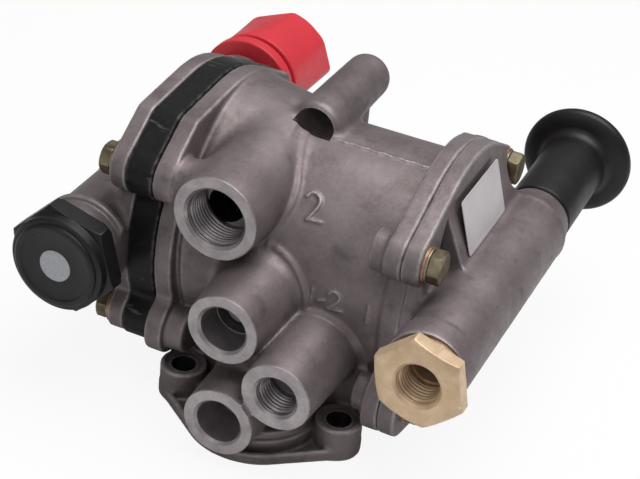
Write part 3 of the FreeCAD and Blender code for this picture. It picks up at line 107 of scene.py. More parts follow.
# Right cover
SHUNT_X, SHUNT_Z = 62.5, 56.8
SHUNT_FRONT_Y, SHUNT_MOUTH_Y = -19.3, 84.5
SHUNT_FRONT_R, SHUNT_BACK_R, SHUNT_END_R = 12.9, 13.6, 12.1
SHUNT_ROUNDING_L = 9.0
SHUNT_COLLAR_X, SHUNT_COLLAR_Z, SHUNT_COLLAR_R, SHUNT_COLLAR_Y = 61.6, 57.5, 13.3, -10.0
SHUNT_BORE_R, SHUNT_MOUTH_R, SHUNT_MOUTH_L = 7.5, 8.6, 6.0
ADAPTER_THREAD_R, ADAPTER_THREAD_L = 9.5, 13.0
SLOPE = [(44.0, 92.5), (50.5, 92.5), (57.8, 68.0), (62.5, 56.8), (44.0, 56.8)]
SLOPE_FRONT_Y, SLOPE_BACK_Y = 21.0, 76.0
LABEL_Y, LABEL_DROP, LABEL_W, LABEL_H, LABEL_CORNER_R = 44.0, 3.4, 34.0, 19.5, 1.2
POCKET_X = 47.3

# Bolts and washers
BOLT_R, BOLT_FLATS, BOLT_HEAD_T, COPPER_T, SPRING_T = 3.0, 10.0, 4.2, 1.0, 0.6
COPPER_R, SPRING_R, WASHER_HOLE_R = 6.2, 5.7, 3.2

# Exhaust cap and adapter: across flats, length of the hexagon, thickness of the washer behind it
CAP_FLATS, CAP_HEX_L, CAP_STEP_L, CAP_L = 34.6, 7.0, 10.6, 12.0
ADAPTER_FLATS, ADAPTER_HEX_L, ADAPTER_SOCKET_R, ADAPTER_SOCKET_L = 27.5, 7.2, 7.2, 13.0
WASHER_T = 1.2

# Knobs
BLACK_STEM_R, BLACK_STEM_L, BLACK_STEM_START, BLACK_RIM_R = 12.0, 43.2, 1.0, 20.4
RED_START, RED_BASE_L, RED_GROOVE_END, RED_L = 2.5, 5.0, 8.0, 40.0
RED_BASE_R, RED_NECK_R, RED_GRIP_R, RED_REACH = 18.4, 14.6, 17.8, 21
RED_GRIP_CORNERS = [(-15.9, 9.2), (-9.8, 11.8), (1.0, 15.8), (7.9, 13.4), (14.8, 7.6), (19.2, -4.6)]
SOCKET_R, SOCKET_L, BLACK_SOCKET_R = 5.45, 14.0, 4.95

# Stock left on the faces that are turned, pitch of the turned rings, overlap of joined forms, bolt seats
FACE_STOCK, RING_PITCH, OVERLAP, SEAT_R = 0.3, 0.6, 3, 6.6

# Sums of coordinates, in metres, that count as the same
SAME_LEVEL = 1.0e-6

# How finely the castings are worked out
GRID = 0.5


# Fields of distances on a grid

class Grid:
    """A box of evenly spaced points whose coordinates broadcast over it."""

    def __init__(self, low, high, step):
        self.low, self.step = np.array(low, float), step
        self.axes = []
        for axis in range(3):
            count = int((high[axis] - low[axis]) / step) + 2
            shape = [1, 1, 1]
            shape[axis] = count
            line = low[axis] + step * np.arange(count)
            self.axes.append(line.astype(np.float32).reshape(shape))
        self.x, self.y, self.z = self.axes


def smooth_max(a, b, k):
    blend = np.maximum(k - np.abs(a - b), 0) / k
    return np.maximum(a, b) + blend * blend * (k / 4)


def smooth_min(a, b, k):
    return -smooth_max(-a, -b, k)


def rod(grid, axis, centre, radius, start, end, end_radius=None, edge=0.5):
    """Distance to a rod along an axis, tapered to end_radius, with its rims rounded by edge."""
    across = [grid.axes[other] for other in range(3) if other != axis]
    along = grid.axes[axis]
    radial = np.hypot(across[0] - centre[0], across[1] - centre[1])
    share = np.clip((along - start) / (end - start), 0, 1)
    taper = radius + ((end_radius or radius) - radius) * share
    return smooth_max(radial - taper, np.maximum(start - along, along - end), edge)


def slab(along, start, end):
    return np.maximum(start - along, along - end)


def block(grid, low, high, edge=0.5):
    """Distance to a box with rounded edges."""
    sides = [slab(grid.axes[axis], low[axis], high[axis]) for axis in range(3)]
    return smooth_max(smooth_max(sides[0], sides[1], edge), sides[2], edge)


def polygon(u, v, points, edge=0.0):
    """Distance to a convex polygon in the plane of u and v, its corners rounded by edge."""
    area = sum(a[0] * b[1] - b[0] * a[1] for a, b in zip(points, points[1:] + points[:1]))
    turn = 1 if area > 0 else -1
    distance = None
    for (u0, v0), (u1, v1) in zip(points, points[1:] + points[:1]):
        length = math.hypot(u1 - u0, v1 - v0)
        side = turn * ((v1 - v0) * (u - u0) - (u1 - u0) * (v - v0)) / length
        if distance is None:
            distance = side
        else:
            distance = smooth_max(distance, side, edge) if edge else np.maximum(distance, side)
    return distance


def tangent_side(y, z, first, second, side):
    """Distance to the area between the centres of two discs (y, z, radius) and their common tangent."""
    reach_y, reach_z = second[0] - first[0], second[1] - first[1]
    lean = math.acos((first[2] - second[2]) / math.hypot(reach_y, reach_z))
    tangent = math.atan2(reach_z, reach_y) + side * lean
    corners = [first[:2], second[:2]]
    for disc_y, disc_z, radius in (second, first):
        corners.append((disc_y + radius * math.cos(tangent), disc_z + radius * math.sin(tangent)))
    return polygon(y, z, corners)


def outline(grid, crowns, waist_r, lobes, corner=None):
    """Flange outline about the main axis: waist disc, crowns above and below, and a lobe per bolt.

    The corner, where there is one, is a further disc between the upper crown and the front lobe."""
    y, z = grid.y, grid.z
    radial = np.hypot(y - AXIS_Y, z - AXIS_Z)
    half_y = abs(lobes[0][0] - AXIS_Y)
    half_z = min(abs(lobe[1] - AXIS_Z) for lobe in lobes)
    rim = 1e3
    for side, crown_r in zip((1, -1), crowns):
        window = np.maximum(np.abs(y - AXIS_Y) - half_y, half_z - side * (z - AXIS_Z))
        rim = np.minimum(rim, np.maximum(radial - crown_r, window))
    for lobe in lobes:
        crown = (AXIS_Y, AXIS_Z, crowns[0] if lobe[1] > AXIS_Z else crowns[1])
        turn = 1 if (lobe[0] - AXIS_Y) * (lobe[1] - AXIS_Z) > 0 else -1
        rim = np.minimum(rim, tangent_side(y, z, crown, lobe, turn))
        rim = np.minimum(rim, np.hypot(y - lobe[0], z - lobe[1]) - lobe[2])
    if corner:
        front_top = max(lobes, key=lambda lobe: lobe[1] - lobe[0])
        rim = np.minimum(rim, tangent_side(y, z, (AXIS_Y, AXIS_Z, crowns[0]), corner, -1))
        rim = np.minimum(rim, tangent_side(y, z, corner, front_top, -1))
        rim = np.minimum(rim, np.hypot(y - corner[0], z - corner[1]) - corner[2])
    return smooth_min(radial - waist_r, rim, 4)


def left_outline(grid, low_lobe_r, proud=0.0):
    lobes = []
    for y, z in LEFT_BOLTS:
        upper_r = LEFT_LOBE_R if y < AXIS_Y else LEFT_BACK_LOBE_R
        lobes.append((y, z, (upper_r if z > AXIS_Z else low_lobe_r) + proud))
    turn = math.radians(LEFT_CORNER_TURN)
    corner = (
        AXIS_Y + LEFT_TOP_R * math.cos(turn), AXIS_Z + LEFT_TOP_R * math.sin(turn), LEFT_CORNER_R + proud,
    )
    return outline(grid, (LEFT_TOP_R + proud, LEFT_BOTTOM_R + proud), LEFT_WAIST_R + proud, lobes, corner)


def right_outline(grid):
    lobes = []
    for y, z in RIGHT_BOLTS:
        front_r = RIGHT_FRONT_LOBE_R if z > AXIS_Z else RIGHT_FOOT_LOBE_R
        lobes.append((y, z, front_r if y < AXIS_Y else RIGHT_BACK_LOBE_R))
    return outline(grid, (RIGHT_TOP_R, RIGHT_BOTTOM_R), RIGHT_WAIST_R, lobes)


def untangle(field, step):
    """Fills grid squares where only two opposite corners are inside, so the surface never meets itself."""
    for _ in range(8):
        found = 0
        for axis in range(3):
            u, v = (axis + 1) % 3, (axis + 2) % 3
            corners = []
            for du, dv in ((0, 0), (1, 0), (0, 1), (1, 1)):
                part = [slice(None)] * 3
                part[u] = slice(du, field.shape[u] - 1 + du)
                part[v] = slice(dv, field.shape[v] - 1 + dv)
                corners.append(field[tuple(part)])
            a, b, c, d = (corner < 0 for corner in corners)
            tangled = (a == d) & (b == c) & (a != b)
            for corner in corners:
                corner[tangled] = np.minimum(corner[tangled], -0.03 * step)
            found += int(tangled.sum())
        if not found:
            return


def surface_net(field, low, step):
    """Points and four-sided faces on the zero level of a field."""
    untangle(field, step)
    inside = field < 0
    cells, places = [], []
    unit = np.eye(3, dtype=int)
    for axis in range(3):
        first = tuple(slice(None, -1) if other == axis else slice(None) for other in range(3))
        last = tuple(slice(1, None) if other == axis else slice(None) for other in range(3))
        crossing = np.argwhere(inside[first] != inside[last])
        a, b = field[first][tuple(crossing.T)], field[last][tuple(crossing.T)]
        place = crossing.astype(float)
        place[:, axis] += a / (a - b)
        side_b, side_c = unit[(axis + 1) % 3], unit[(axis + 2) % 3]
        ring = (crossing - side_b - side_c, crossing - side_c, crossing, crossing - side_b)
        corners = np.stack([np.ravel_multi_index(corner.T, field.shape) for corner in ring], 1)
        corners[a >= 0] = corners[a >= 0][:, ::-1]
        cells.append(corners)
        places.append(np.repeat(place, 4, 0))
    places = np.concatenate(places)
    index = np.unique(np.concatenate(cells).ravel(), return_inverse=True)[1]
    count = np.bincount(index)
    points = np.stack([np.bincount(index, places[:, axis]) / count for axis in range(3)], 1)
    return points * step + low, index.reshape(-1, 4)


# Meshes

def piece_from(name, points, faces, materials):
    mesh = bpy.data.meshes.new(name)
    mesh.from_pydata([tuple(point) for point in np.asarray(points) * MM], [], [tuple(f) for f in faces])
    mesh.update()
    for entry in materials:
        mesh.materials.append(entry)
    piece = bpy.data.objects.new(name, mesh)
    bpy.context.scene.collection.objects.link(piece)
    return piece


def cast_piece(name, grid, field, materials, rounds=2):
    points, faces = surface_net(field, grid.low, grid.step)
    piece = piece_from(name, points, faces, materials)
    smooth = piece.modifiers.new("smooth", "SMOOTH")
    smooth.factor, smooth.iterations = 0.5, rounds
    return piece


def on_circle(centre, axis, along, radius, step, turns):
    """Point number step of turns on a circle about an axis through centre."""
    angle = 2 * math.pi * step / turns
    place = [0.0, 0.0, 0.0]
    place[axis] = along
    place[(axis + 1) % 3] = centre[(axis + 1) % 3] + radius * math.cos(angle)
    place[(axis + 2) % 3] = centre[(axis + 2) % 3] + radius * math.sin(angle)
    return place


def faces_between(rows, turns, closed):
    """Faces between neighbouring rings of points, and from the last ring to the first if closed."""
    faces = []
    for row in range(rows if closed else rows - 1):
        above, below = row * turns, (row + 1) % rows * turns
        for step in range(turns):
            after = (step + 1) % turns
            faces.append((above + step, above + after, below + after, below + step))
    return faces


def lathe(profile, centre, axis, turns=96):
    """Points and faces of a profile of (radius, along) turned about an axis through centre.

    The profile runs from the axis back to the axis, or closes on itself."""
    closed = profile[0][0] > 0 or profile[-1][0] > 0
    points, rings = [], []
    for radius, along in profile:
        ring = range(turns if radius > 0 else 1)
        rings.append([len(points) + step for step in ring])
        points += [on_circle(centre, axis, along, radius, step, turns) for step in ring]
    faces = []
    pairs = list(zip(rings, rings[1:]))
    if closed:
        pairs.append((rings[-1], rings[0]))
    for first, second in pairs:
        for step in range(turns):
            after = (step + 1) % turns
            corners = [
                first[step % len(first)], second[step % len(second)],
                second[after % len(second)], first[after % len(first)],
            ]
            face = list(dict.fromkeys(corners))
            if len(face) > 2:
                faces.append(face)
    return points, faces


def face_outwards(piece):
    import bmesh
    work = bmesh.new()
    work.from_mesh(piece.data)
    bmesh.ops.recalc_face_normals(work, faces=work.faces)
    work.to_mesh(piece.data)
    work.free()


def settle(piece):
    """Applies the piece's modifiers to its mesh."""
    bpy.context.view_layer.update()
    ready = piece.evaluated_get(bpy.context.evaluated_depsgraph_get())
    mesh = bpy.data.meshes.new_from_object(ready)
    piece.modifiers.clear()
    piece.data = mesh
    mesh.name = piece.name


def cut(piece, cutters):
    """Takes the cutters out of the piece."""
    for cutter in cutters:
        change = piece.modifiers.new("cut", "BOOLEAN")
        change.operation = "DIFFERENCE"
        change.solver = "MANIFOLD"
        change.object = cutter
    settle(piece)
    for cutter in cutters:
        bpy.data.objects.remove(cutter)


def keep_points_apart(piece):
    """Shifts points by a thousandth of a millimetre where the renderer would merge two neighbours.

    It takes near points whose coordinates add up to the same value for one, which leaves specks."""
    mesh = piece.data
    places = np.empty(3 * len(mesh.vertices), np.float32)
    ends = np.empty(2 * len(mesh.edges), np.int32)
    mesh.vertices.foreach_get("co", places)
    mesh.edges.foreach_get("vertices", ends)
    places, ends = places.reshape(-1, 3), ends.reshape(-1, 2)
    for nudge in (0.7, 1.0, 1.3, 1.6):
        level = places.sum(1)
        alike = np.abs(level[ends[:, 0]] - level[ends[:, 1]]) < SAME_LEVEL
        places[np.unique(ends[alike, 0])] += nudge * SAME_LEVEL
    mesh.vertices.foreach_set("co", places.ravel())
    mesh.update()


def soften(piece, angle=35, bevel=0.0):
    """Smooth shading that keeps edges sharper than the angle, after an optional small bevel."""
    if bevel:
        edge = piece.modifiers.new("edge", "BEVEL")
        edge.width, edge.segments = bevel * MM, 2
        edge.limit_method, edge.angle_limit = "ANGLE", math.radians(angle)
        settle(piece)
    piece.data.shade_smooth()
    piece.data.set_sharp_from_angle(angle=math.radians(angle))


def plain_piece(name, shape, material, angle=35, bevel=0.0):
    """Piece of one material from the points and faces of a shape, with its edges softened."""
    piece = piece_from(name, *shape, [material])
    face_outwards(piece)
    soften(piece, angle, bevel)
    return piece


def rides(piece, body, slot, *nodes):
    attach(piece, body)
    if nodes:
        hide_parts(*nodes)


# Materials

def feed(tree, socket, value):
    """Links a socket to another one, or gives it a value."""
    if isinstance(value, bpy.types.NodeSocket):
        tree.links.new(value, socket)
    else:
        socket.default_value = value


def add_node(tree, kind, inputs=(), **settings):
    node = tree.nodes.new(kind)
    for key, value in settings.items():
        setattr(node, key, value)
    for key, value in dict(inputs).items():
        feed(tree, node.inputs[key], value)
    return node


class Nodes:
    """A material's node tree with short ways to add and link nodes."""

    def __init__(self, name):
        self.material = bpy.data.materials.new(name)
        self.material.use_nodes = True
        self.tree = self.material.node_tree
        self.shader = self.tree.nodes["Principled BSDF"]
        self.place = self.tree.nodes.new("ShaderNodeTexCoord").outputs["Object"]

    def add(self, kind, inputs=(), **settings):
        return add_node(self.tree, kind, inputs, **settings)

    def noise(self, scale, detail=4.0, roughness=0.55, stretch=None):
        place = self.place
        if stretch:
            place = self.add("ShaderNodeMapping", {"Vector": place, "Scale": stretch}).outputs[0]
        inputs = {"Vector": place, "Scale": scale, "Detail": detail, "Roughness": roughness}
        return self.add("ShaderNodeTexNoise", inputs).outputs["Fac"]

    def band(self, value, low, high, start=0.0, end=1.0):
        """Maps a value between low and high to start and end, held beyond them."""
        inputs = {"Value": value, "From Min": low, "From Max": high, "To Min": start, "To Max": end}
        return self.add("ShaderNodeMapRange", inputs).outputs["Result"]

    def patches(self, scale, detail, roughness, low, high, start=0.0, end=1.0):
        """Noise of a scale, mapped as by band."""
        return self.band(self.noise(scale, detail, roughness), low, high, start, end)

    def times(self, a, b):
        return self.add("ShaderNodeMath", {0: a, 1: b}, operation="MULTIPLY").outputs[0]

    def mix(self, share, first, second):
        """Colour that goes from first to second by share."""
        node = self.add("ShaderNodeMix", data_type="RGBA")
        sockets = {"Factor_Float": share, "A_Color": first, "B_Color": second}
        for socket in node.inputs:
            if socket.identifier in sockets:
                feed(self.tree, socket, sockets[socket.identifier])
        return next(socket for socket in node.outputs if socket.identifier == "Result_Color")

    def bump(self, height, distance, strength=1.0, under=None):
        inputs = {"Height": height, "Distance": distance * MM, "Strength": strength}
        if under:
            inputs["Normal"] = under
        return self.add("ShaderNodeBump", inputs).outputs["Normal"]

    def edges(self, low=0.51, high=0.56):
        """Near 1 on outer edges of a finely meshed surface."""
        pointiness = self.add("ShaderNodeNewGeometry").outputs["Pointiness"]
        return self.band(pointiness, low, high)

    def finish(self, **inputs):
        for key, value in inputs.items():
            feed(self.tree, self.shader.inputs[key.replace("_", " ")], value)
        return self.material


def grey(level, red=1.0, green=1.0, blue=1.0):
    return (level * red, level * green, level * blue, 1.0)


def cast_alloy(name, level):
    """Aged die-cast aluminium: mottled warm grey, grainy, fine pale specks, edges lightened partly as rubbed
    wear and partly as painted highlight, and a painted highlight along concave fillets.
    """
    nodes = Nodes(name)
    patches = nodes.patches(45, 5, 0.55, 0.38, 0.64)
    grain = nodes.noise(900, 3, 0.7)
    tone = nodes.mix(patches, grey(level * 0.72, 1.16, 0.91, 0.93), grey(level * 1.16, 1.13, 0.93, 0.95))
    tone = nodes.mix(nodes.band(grain, 0.35, 0.75, 0.0, 0.35), tone, grey(level * 1.5, 1.08, 0.95, 0.97))
    stains = nodes.patches(120, 6, 0.65, 0.56, 0.70, 0.0, 0.55)
    tone = nodes.mix(stains, tone, grey(level * 0.45, 1.1, 0.95, 0.92))
    # Edges found by pointiness are lightened: partly rubbed wear, partly a painted highlight along the rims.
    edge = nodes.times(nodes.edges(), nodes.patches(260, 4, 0.55, 0.30, 0.60, 0.25, 0.85))
    tone = nodes.mix(edge, tone, grey(level * 3.0, 1.04, 0.98, 0.97))
    # Painted highlight: concave fillets, found by low pointiness, are lightened in colour.
    painted_fillet_highlight = nodes.times(nodes.edges(0.485, 0.44), nodes.patches(200, 4, 0.55, 0.35, 0.65, 0.1, 0.5))
    tone = nodes.mix(painted_fillet_highlight, tone, grey(level * 2.0, 1.05, 0.97, 0.97))
    rough = nodes.patches(300, 4, 0.55, 0.3, 0.7, 0.46, 0.62)
    pits = nodes.bump(nodes.noise(1500, 3, 0.7), 0.10, 0.55)
    waves = nodes.bump(nodes.noise(160, 3), 0.35, 0.35, under=pits)
    return nodes.finish(Base_Color=tone, Metallic=0.6, Roughness=rough, Normal=waves)


def machined_alloy(name, level):
    """Freshly turned aluminium with fine tool marks and a little staining."""
    nodes = Nodes(name)
    streaks = nodes.noise(700, 3, 0.6)
    dull, bright = grey(level * 0.78, 1.08, 0.96, 0.99), grey(level * 1.1, 1.07, 0.97, 0.99)
    tone = nodes.mix(nodes.patches(140, 5, 0.55, 0.35, 0.65), dull, bright)
    tone = nodes.mix(nodes.band(streaks, 0.5, 0.8, 0.0, 0.3), tone, grey(level * 0.5))
    rough = nodes.band(streaks, 0.3, 0.7, 0.30, 0.46)
    marks = nodes.bump(nodes.noise(2200, 2), 0.04, 0.4)
    return nodes.finish(Base_Color=tone, Metallic=0.75, Roughness=rough, Normal=marks)


def dark_bore(name, level):
    """Drilled surface inside a port with oily patches, its colour kept near black as painted shade of the
    cavity.
    """
    nodes = Nodes(name)
    oil = nodes.patches(220, 4, 0.55, 0.35, 0.65)
    tone = nodes.mix(oil, grey(level * 0.6), grey(level * 1.3, 1.05, 0.98, 0.95))
    marks = nodes.bump(nodes.noise(900, 2), 0.08, 0.4)
    return nodes.finish(Base_Color=tone, Metallic=0.8, Roughness=0.36, Normal=marks)


def black_paint(name):
    """Satin black coating with fine dust, pale scratches and rubbed edges."""
    nodes = Nodes(name)
    dust = nodes.patches(500, 5, 0.7, 0.54, 0.80, 0.0, 0.20)
    tone = nodes.mix(dust, grey(0.007, 1.0, 0.95, 1.0), grey(0.08, 1.0, 0.96, 0.97))
    scratches = nodes.band(nodes.noise(90, 2, 0.5, stretch=(1.0, 9.0, 1.0)), 0.66, 0.70, 0.0, 0.35)
    tone = nodes.mix(scratches, tone, grey(0.16, 1.0, 0.96, 0.97))
    edge = nodes.times(nodes.edges(0.515, 0.57), nodes.patches(330, 4, 0.55, 0.42, 0.66, 0.0, 0.6))
    tone = nodes.mix(edge, tone, grey(0.22, 1.02, 0.97, 0.96))
    grain = nodes.bump(nodes.noise(1300, 3), 0.05, 0.4)
    rough = nodes.patches(240, 4, 0.55, 0.3, 0.7, 0.34, 0.48)
    return nodes.finish(Base_Color=tone, Roughness=rough, Specular_IOR_Level=0.2, Normal=grain)


def moulded_plastic(name, colour, rough, grain_depth, dust_share):
    """Moulded plastic with a fine grain, a light bloom of dust and handling marks."""
    nodes = Nodes(name)
    bloom = nodes.patches(60, 5, 0.55, 0.40, 0.70, 0.0, 0.30)
    deep = tuple(0.72 * part for part in colour[:3]) + (1.0,)
    pale = tuple(part + dust_share * (0.6 - part) for part in colour[:3]) + (1.0,)
    tone = nodes.mix(bloom, colour, deep)
    tone = nodes.mix(nodes.patches(1400, 3, 0.7, 0.60, 0.80, 0.0, 0.5), tone, pale)
    grain = nodes.bump(nodes.noise(1100, 3), grain_depth, 0.5)
    sheen = nodes.patches(180, 4, 0.55, 0.3, 0.7, rough - 0.06, rough + 0.08)
    return nodes.finish(Base_Color=tone, Roughness=sheen, Specular_IOR_Level=0.35, Normal=grain)


def plated(name, first, second, metallic, rough, stained=0.5):
    """Plated or bare metal with two drifting tones, small stains and rubbed edges."""
    nodes = Nodes(name)
    tone = nodes.mix(nodes.patches(230, 5, 0.55, 0.36, 0.64), first, second)
    stain = tuple(0.35 * part for part in first[:3]) + (1.0,)
    tone = nodes.mix(nodes.patches(520, 4, 0.7, 0.60, 0.74, 0.0, stained), tone, stain)
    pale = tuple(min(1.0, part * 1.6 + 0.05) for part in second[:3]) + (1.0,)
    tone = nodes.mix(nodes.band(nodes.edges(0.53, 0.62), 0.0, 1.0, 0.0, 0.5), tone, pale)
    sheen = nodes.patches(350, 4, 0.55, 0.3, 0.7, rough - 0.07, rough + 0.09)
    marks = nodes.bump(nodes.noise(1600, 3), 0.04, 0.4)
    return nodes.finish(Base_Color=tone, Metallic=metallic, Roughness=sheen, Normal=marks)


def soft_rubber(name):
    nodes = Nodes(name)
    tone = nodes.mix(nodes.patches(300, 4, 0.55, 0.4, 0.7), grey(0.012), grey(0.035))
    return nodes.finish(Base_Color=tone, Roughness=0.62, Normal=nodes.bump(nodes.noise(1500), 0.05, 0.5))


def pale_felt(name):
    """Sintered plastic of the silencer."""
    nodes = Nodes(name)
    beads = nodes.noise(2600, 2)
    tone = nodes.mix(nodes.band(beads, 0.35, 0.7), grey(0.32, 0.97, 0.99, 1.04), grey(0.48, 0.97, 0.99, 1.04))
    return nodes.finish(Base_Color=tone, Roughness=0.7, Normal=nodes.bump(beads, 0.10, 0.8))


def label_film(name):
    """Pale foil of the bare label, faintly clouded and dusty."""
    nodes = Nodes(name)
    clouds = nodes.patches(70, 4, 0.55, 0.35, 0.68)
    tone = nodes.mix(clouds, grey(0.46, 1.0, 0.93, 0.96), grey(0.54, 1.0, 0.95, 0.98))
    tone = nodes.mix(nodes.patches(900, 4, 0.7, 0.62, 0.78, 0.0, 0.3), tone, grey(0.30, 1.0, 0.9, 0.9))
    return nodes.finish(Base_Color=tone, Roughness=0.38, Normal=nodes.bump(nodes.noise(500), 0.03, 0.3))


CAST = cast_alloy("cast alloy", 0.165)
MACHINED = machined_alloy("machined alloy", 0.34)
THREAD = machined_alloy("thread metal", 0.30)
# Painted shade: bores are near black at level 0.06 so the drilled cavities read as shaded.
BORE = dark_bore("dark bore", 0.06)
# Painted light: the vent tube's bore wall is the cast alloy at more than twice its level, lightening the
# shaded inside of the tube.
VENT = cast_alloy("vent wall", 0.36)
BLACK = black_paint("black coating")
BLACK_PLASTIC = moulded_plastic("black plastic", grey(0.006, 1.05, 0.97, 1.0), 0.42, 0.03, 0.045)
RED_PLASTIC = moulded_plastic("red plastic", (0.60, 0.030, 0.045, 1.0), 0.42, 0.02, 0.10)
ZINC = plated("zinc plating", (0.12, 0.098, 0.062, 1.0), (0.27, 0.225, 0.15, 1.0), 0.85, 0.36, 0.7)
COPPER = plated("copper", (0.20, 0.115, 0.065, 1.0), (0.34, 0.20, 0.12, 1.0), 0.85, 0.40)
STEEL = plated("steel", (0.16, 0.14, 0.11, 1.0), (0.30, 0.27, 0.21, 1.0), 0.9, 0.40)
BRASS = plated("brass", (0.56, 0.40, 0.25, 1.0), (0.68, 0.50, 0.33, 1.0), 0.45, 0.42, 0.2)
RUBBER = soft_rubber("rubber")
SILENCER = pale_felt("sintered silencer")
FILM = label_film("label film")
CAST_SLOTS = [CAST, MACHINED, BORE, VENT]


# Castings

def cast_body_field(grid):
    """Outside of the body: barrel, shoulder, flanges, bosses, ports, gallery, base and vent tube."""
    main = (AXIS_Y, AXIS_Z)
    left_back = LEFT_FACE_X + LEFT_FLANGE_T
    right_back = RIGHT_FACE_X - RIGHT_FLANGE_T
    shape = rod(grid, 0, main, BODY_R, LEFT_FACE_X, RIGHT_FACE_X)
    crest = rod(grid, 0, (CREST_Y, CREST_Z), BODY_R, LEFT_FACE_X, RIGHT_FACE_X)
    shape = smooth_min(shape, crest, 1.5)
    raised = (AXIS_Y, AXIS_Z + SHOULDER_RAISE)
    start = left_back + SHOULDER_GAP
    shoulder = rod(grid, 0, raised, SHOULDER_R, start, start + SHOULDER_L, BODY_R, edge=2.2)
    shape = smooth_min(shape, shoulder, 1.5)
    groove = rod(grid, 0, raised, SHOULDER_R - GROOVE_DEPTH, left_back - OVERLAP, start + 2)
    shape = smooth_min(shape, groove, 2.0)
    place = (AXIS_Y + PAD_SHIFT_Y, AXIS_Z + PAD_SHIFT_Z)
    pad = rod(grid, 0, place, PAD_R, left_back - OVERLAP, PAD_END_X, PAD_END_R, edge=0.8)
    shape = smooth_min(shape, pad, 1.2)
    for y, z in LEFT_BOLTS:
        if y < AXIS_Y:
            start, end = left_back - OVERLAP, left_back + BOLT_BOSS_L[0]
            shape = smooth_min(shape, rod(grid, 0, (y, z), BOLT_BOSS_R[0], start, end, edge=1.2), 2.0)
    for y, z in RIGHT_BOLTS:
        start, end = right_back - BOLT_BOSS_L[1], right_back + OVERLAP
        shape = smooth_min(shape, rod(grid, 0, (y, z), BOLT_BOSS_R[1], start, end, edge=1.2), 2.0)
    left_flange = smooth_max(left_outline(grid, LEFT_FOOT_LOBE_R), slab(grid.x, LEFT_FACE_X, left_back), 0.8)
    right_flange = smooth_max(right_outline(grid), slab(grid.x, right_back, RIGHT_FACE_X), 0.8)
    shape = smooth_min(smooth_min(shape, left_flange, 1.4), right_flange, 1.6)
    return ports_and_foot(grid, shape)


def ports_and_foot(grid, shape):
    """Adds the port bosses, the gallery with its webs, the base and the vent tube to the barrel."""
    for centre, face_r, root_r, back_y, fillet in (
        (PORT_2, PORT_2_R, PORT_2_ROOT_R, AXIS_Y, 3.0),
        (PORT_12, PORT_12_R, PORT_12_ROOT_R, AXIS_Y - BODY_R / 2, 4.5),
        (LOWER_LEFT, LOWER_LEFT_R, LOWER_LEFT_ROOT_R, 0, 2.2),
        (LOWER_RIGHT, LOWER_RIGHT_R, LOWER_RIGHT_ROOT_R, AXIS_Y - BODY_R / 2, 2.6),
    ):
        front = centre[1] - FACE_STOCK
        boss = rod(grid, 1, (centre[0], centre[2]), face_r, front, back_y, root_r, edge=0.8)
        shape = smooth_min(shape, boss, fillet)
    gallery = rod(grid, 2, (0, 0), GALLERY_R, 0, GALLERY_TOP_Z)
    shape = smooth_min(shape, gallery, 3)
    web = block(grid, (WEB_X[0], 0, BASE_T), (WEB_X[1], AXIS_Y / 2, GALLERY_TOP_Z))
    side_web = block(grid, SIDE_WEB_LOW, SIDE_WEB_HIGH)
    shape = smooth_min(smooth_min(shape, web, 3), side_web, 3)
    shape = smooth_min(shape, base_field(grid), 1.2)
    tube = rod(grid, 1, (TUBE_X, TUBE_Z), TUBE_FRONT_R, TUBE_FRONT_Y, TUBE_BACK_Y, TUBE_BACK_R, edge=3.5)
    low, high = (TUBE_X - TUBE_WEB_T / 2, AXIS_Y, TUBE_WEB_Z), (TUBE_X + TUBE_WEB_T / 2, TUBE_BACK_Y, TUBE_Z)
    return smooth_min(smooth_min(shape, block(grid, low, high), 2), tube, 2.5)


def base_plan(grid, inset):
    """Distance in plan to the base: a round middle and two ears joined by tangents."""
    middle_r, ear_r = BASE_R - inset, EAR_R - inset
    lean = math.acos((middle_r - ear_r) / EAR_X)
    along, across = math.cos(lean), math.sin(lean)
    plan = np.hypot(grid.x, grid.y) - middle_r
    for side in (-1, 1):
        plan = np.minimum(plan, np.hypot(grid.x - side * EAR_X, grid.y) - ear_r)
        plan = np.minimum(plan, polygon(grid.x, grid.y, [
            (side * middle_r * along, middle_r * across),
            (side * (EAR_X + ear_r * along), ear_r * across),
            (side * (EAR_X + ear_r * along), -ear_r * across),
            (side * middle_r * along, -middle_r * across),
        ]))
    return plan


def base_field(grid):
    """Base flange: rim round a shallow pocket, a stepped foot and two raised ears."""
    plate = smooth_max(base_plan(grid, 0), slab(grid.z, 0, BASE_T), 0.8)
    pocket = smooth_max(base_plan(grid, BASE_RIM), slab(grid.z, BASE_FLOOR, BASE_T + 2), 0.6)
    plate = smooth_max(plate, -pocket, 0.8)
    step = rod(grid, 2, (0, 0), STEP_R, 0, STEP_Z, edge=0.8)
    foot = rod(grid, 2, (0, 0), FOOT_R, 0, FOOT_Z, edge=0.8)
    plate = smooth_min(smooth_min(plate, step, 0.8), foot, 0.8)
    for side in (-1, 1):
        plate = smooth_min(plate, rod(grid, 2, (side * EAR_X, 0), EAR_R, 0, EAR_T, edge=0.8), 1.0)
    return plate


def ridge(grid, shape, places, radius, blend=0.5):
    """Raises a thin rounded line through places, which are points in space."""
    for start, end in zip(places, places[1:]):
        start, end = np.array(start, float), np.array(end, float)
        low = np.minimum(start, end) - 4 * radius - grid.low
        high = np.maximum(start, end) + 4 * radius - grid.low
        first = np.maximum(np.floor(low / grid.step).astype(int), 0)
        last = np.ceil(high / grid.step).astype(int) + 1
        part = tuple(slice(a, b) for a, b in zip(first, last))
        x, y, z = grid.x[part[0]], grid.y[:, part[1]], grid.z[:, :, part[2]]
        run = end - start
        share = (x - start[0]) * run[0] + (y - start[1]) * run[1] + (z - start[2]) * run[2]
        share = np.clip(share / run.dot(run), 0, 1)
        off = [axis - (start[n] + run[n] * share) for n, axis in enumerate((x, y, z))]
        line = np.sqrt(off[0] ** 2 + off[1] ** 2 + off[2] ** 2) - radius
        shape[part] = smooth_min(shape[part], line, blend)


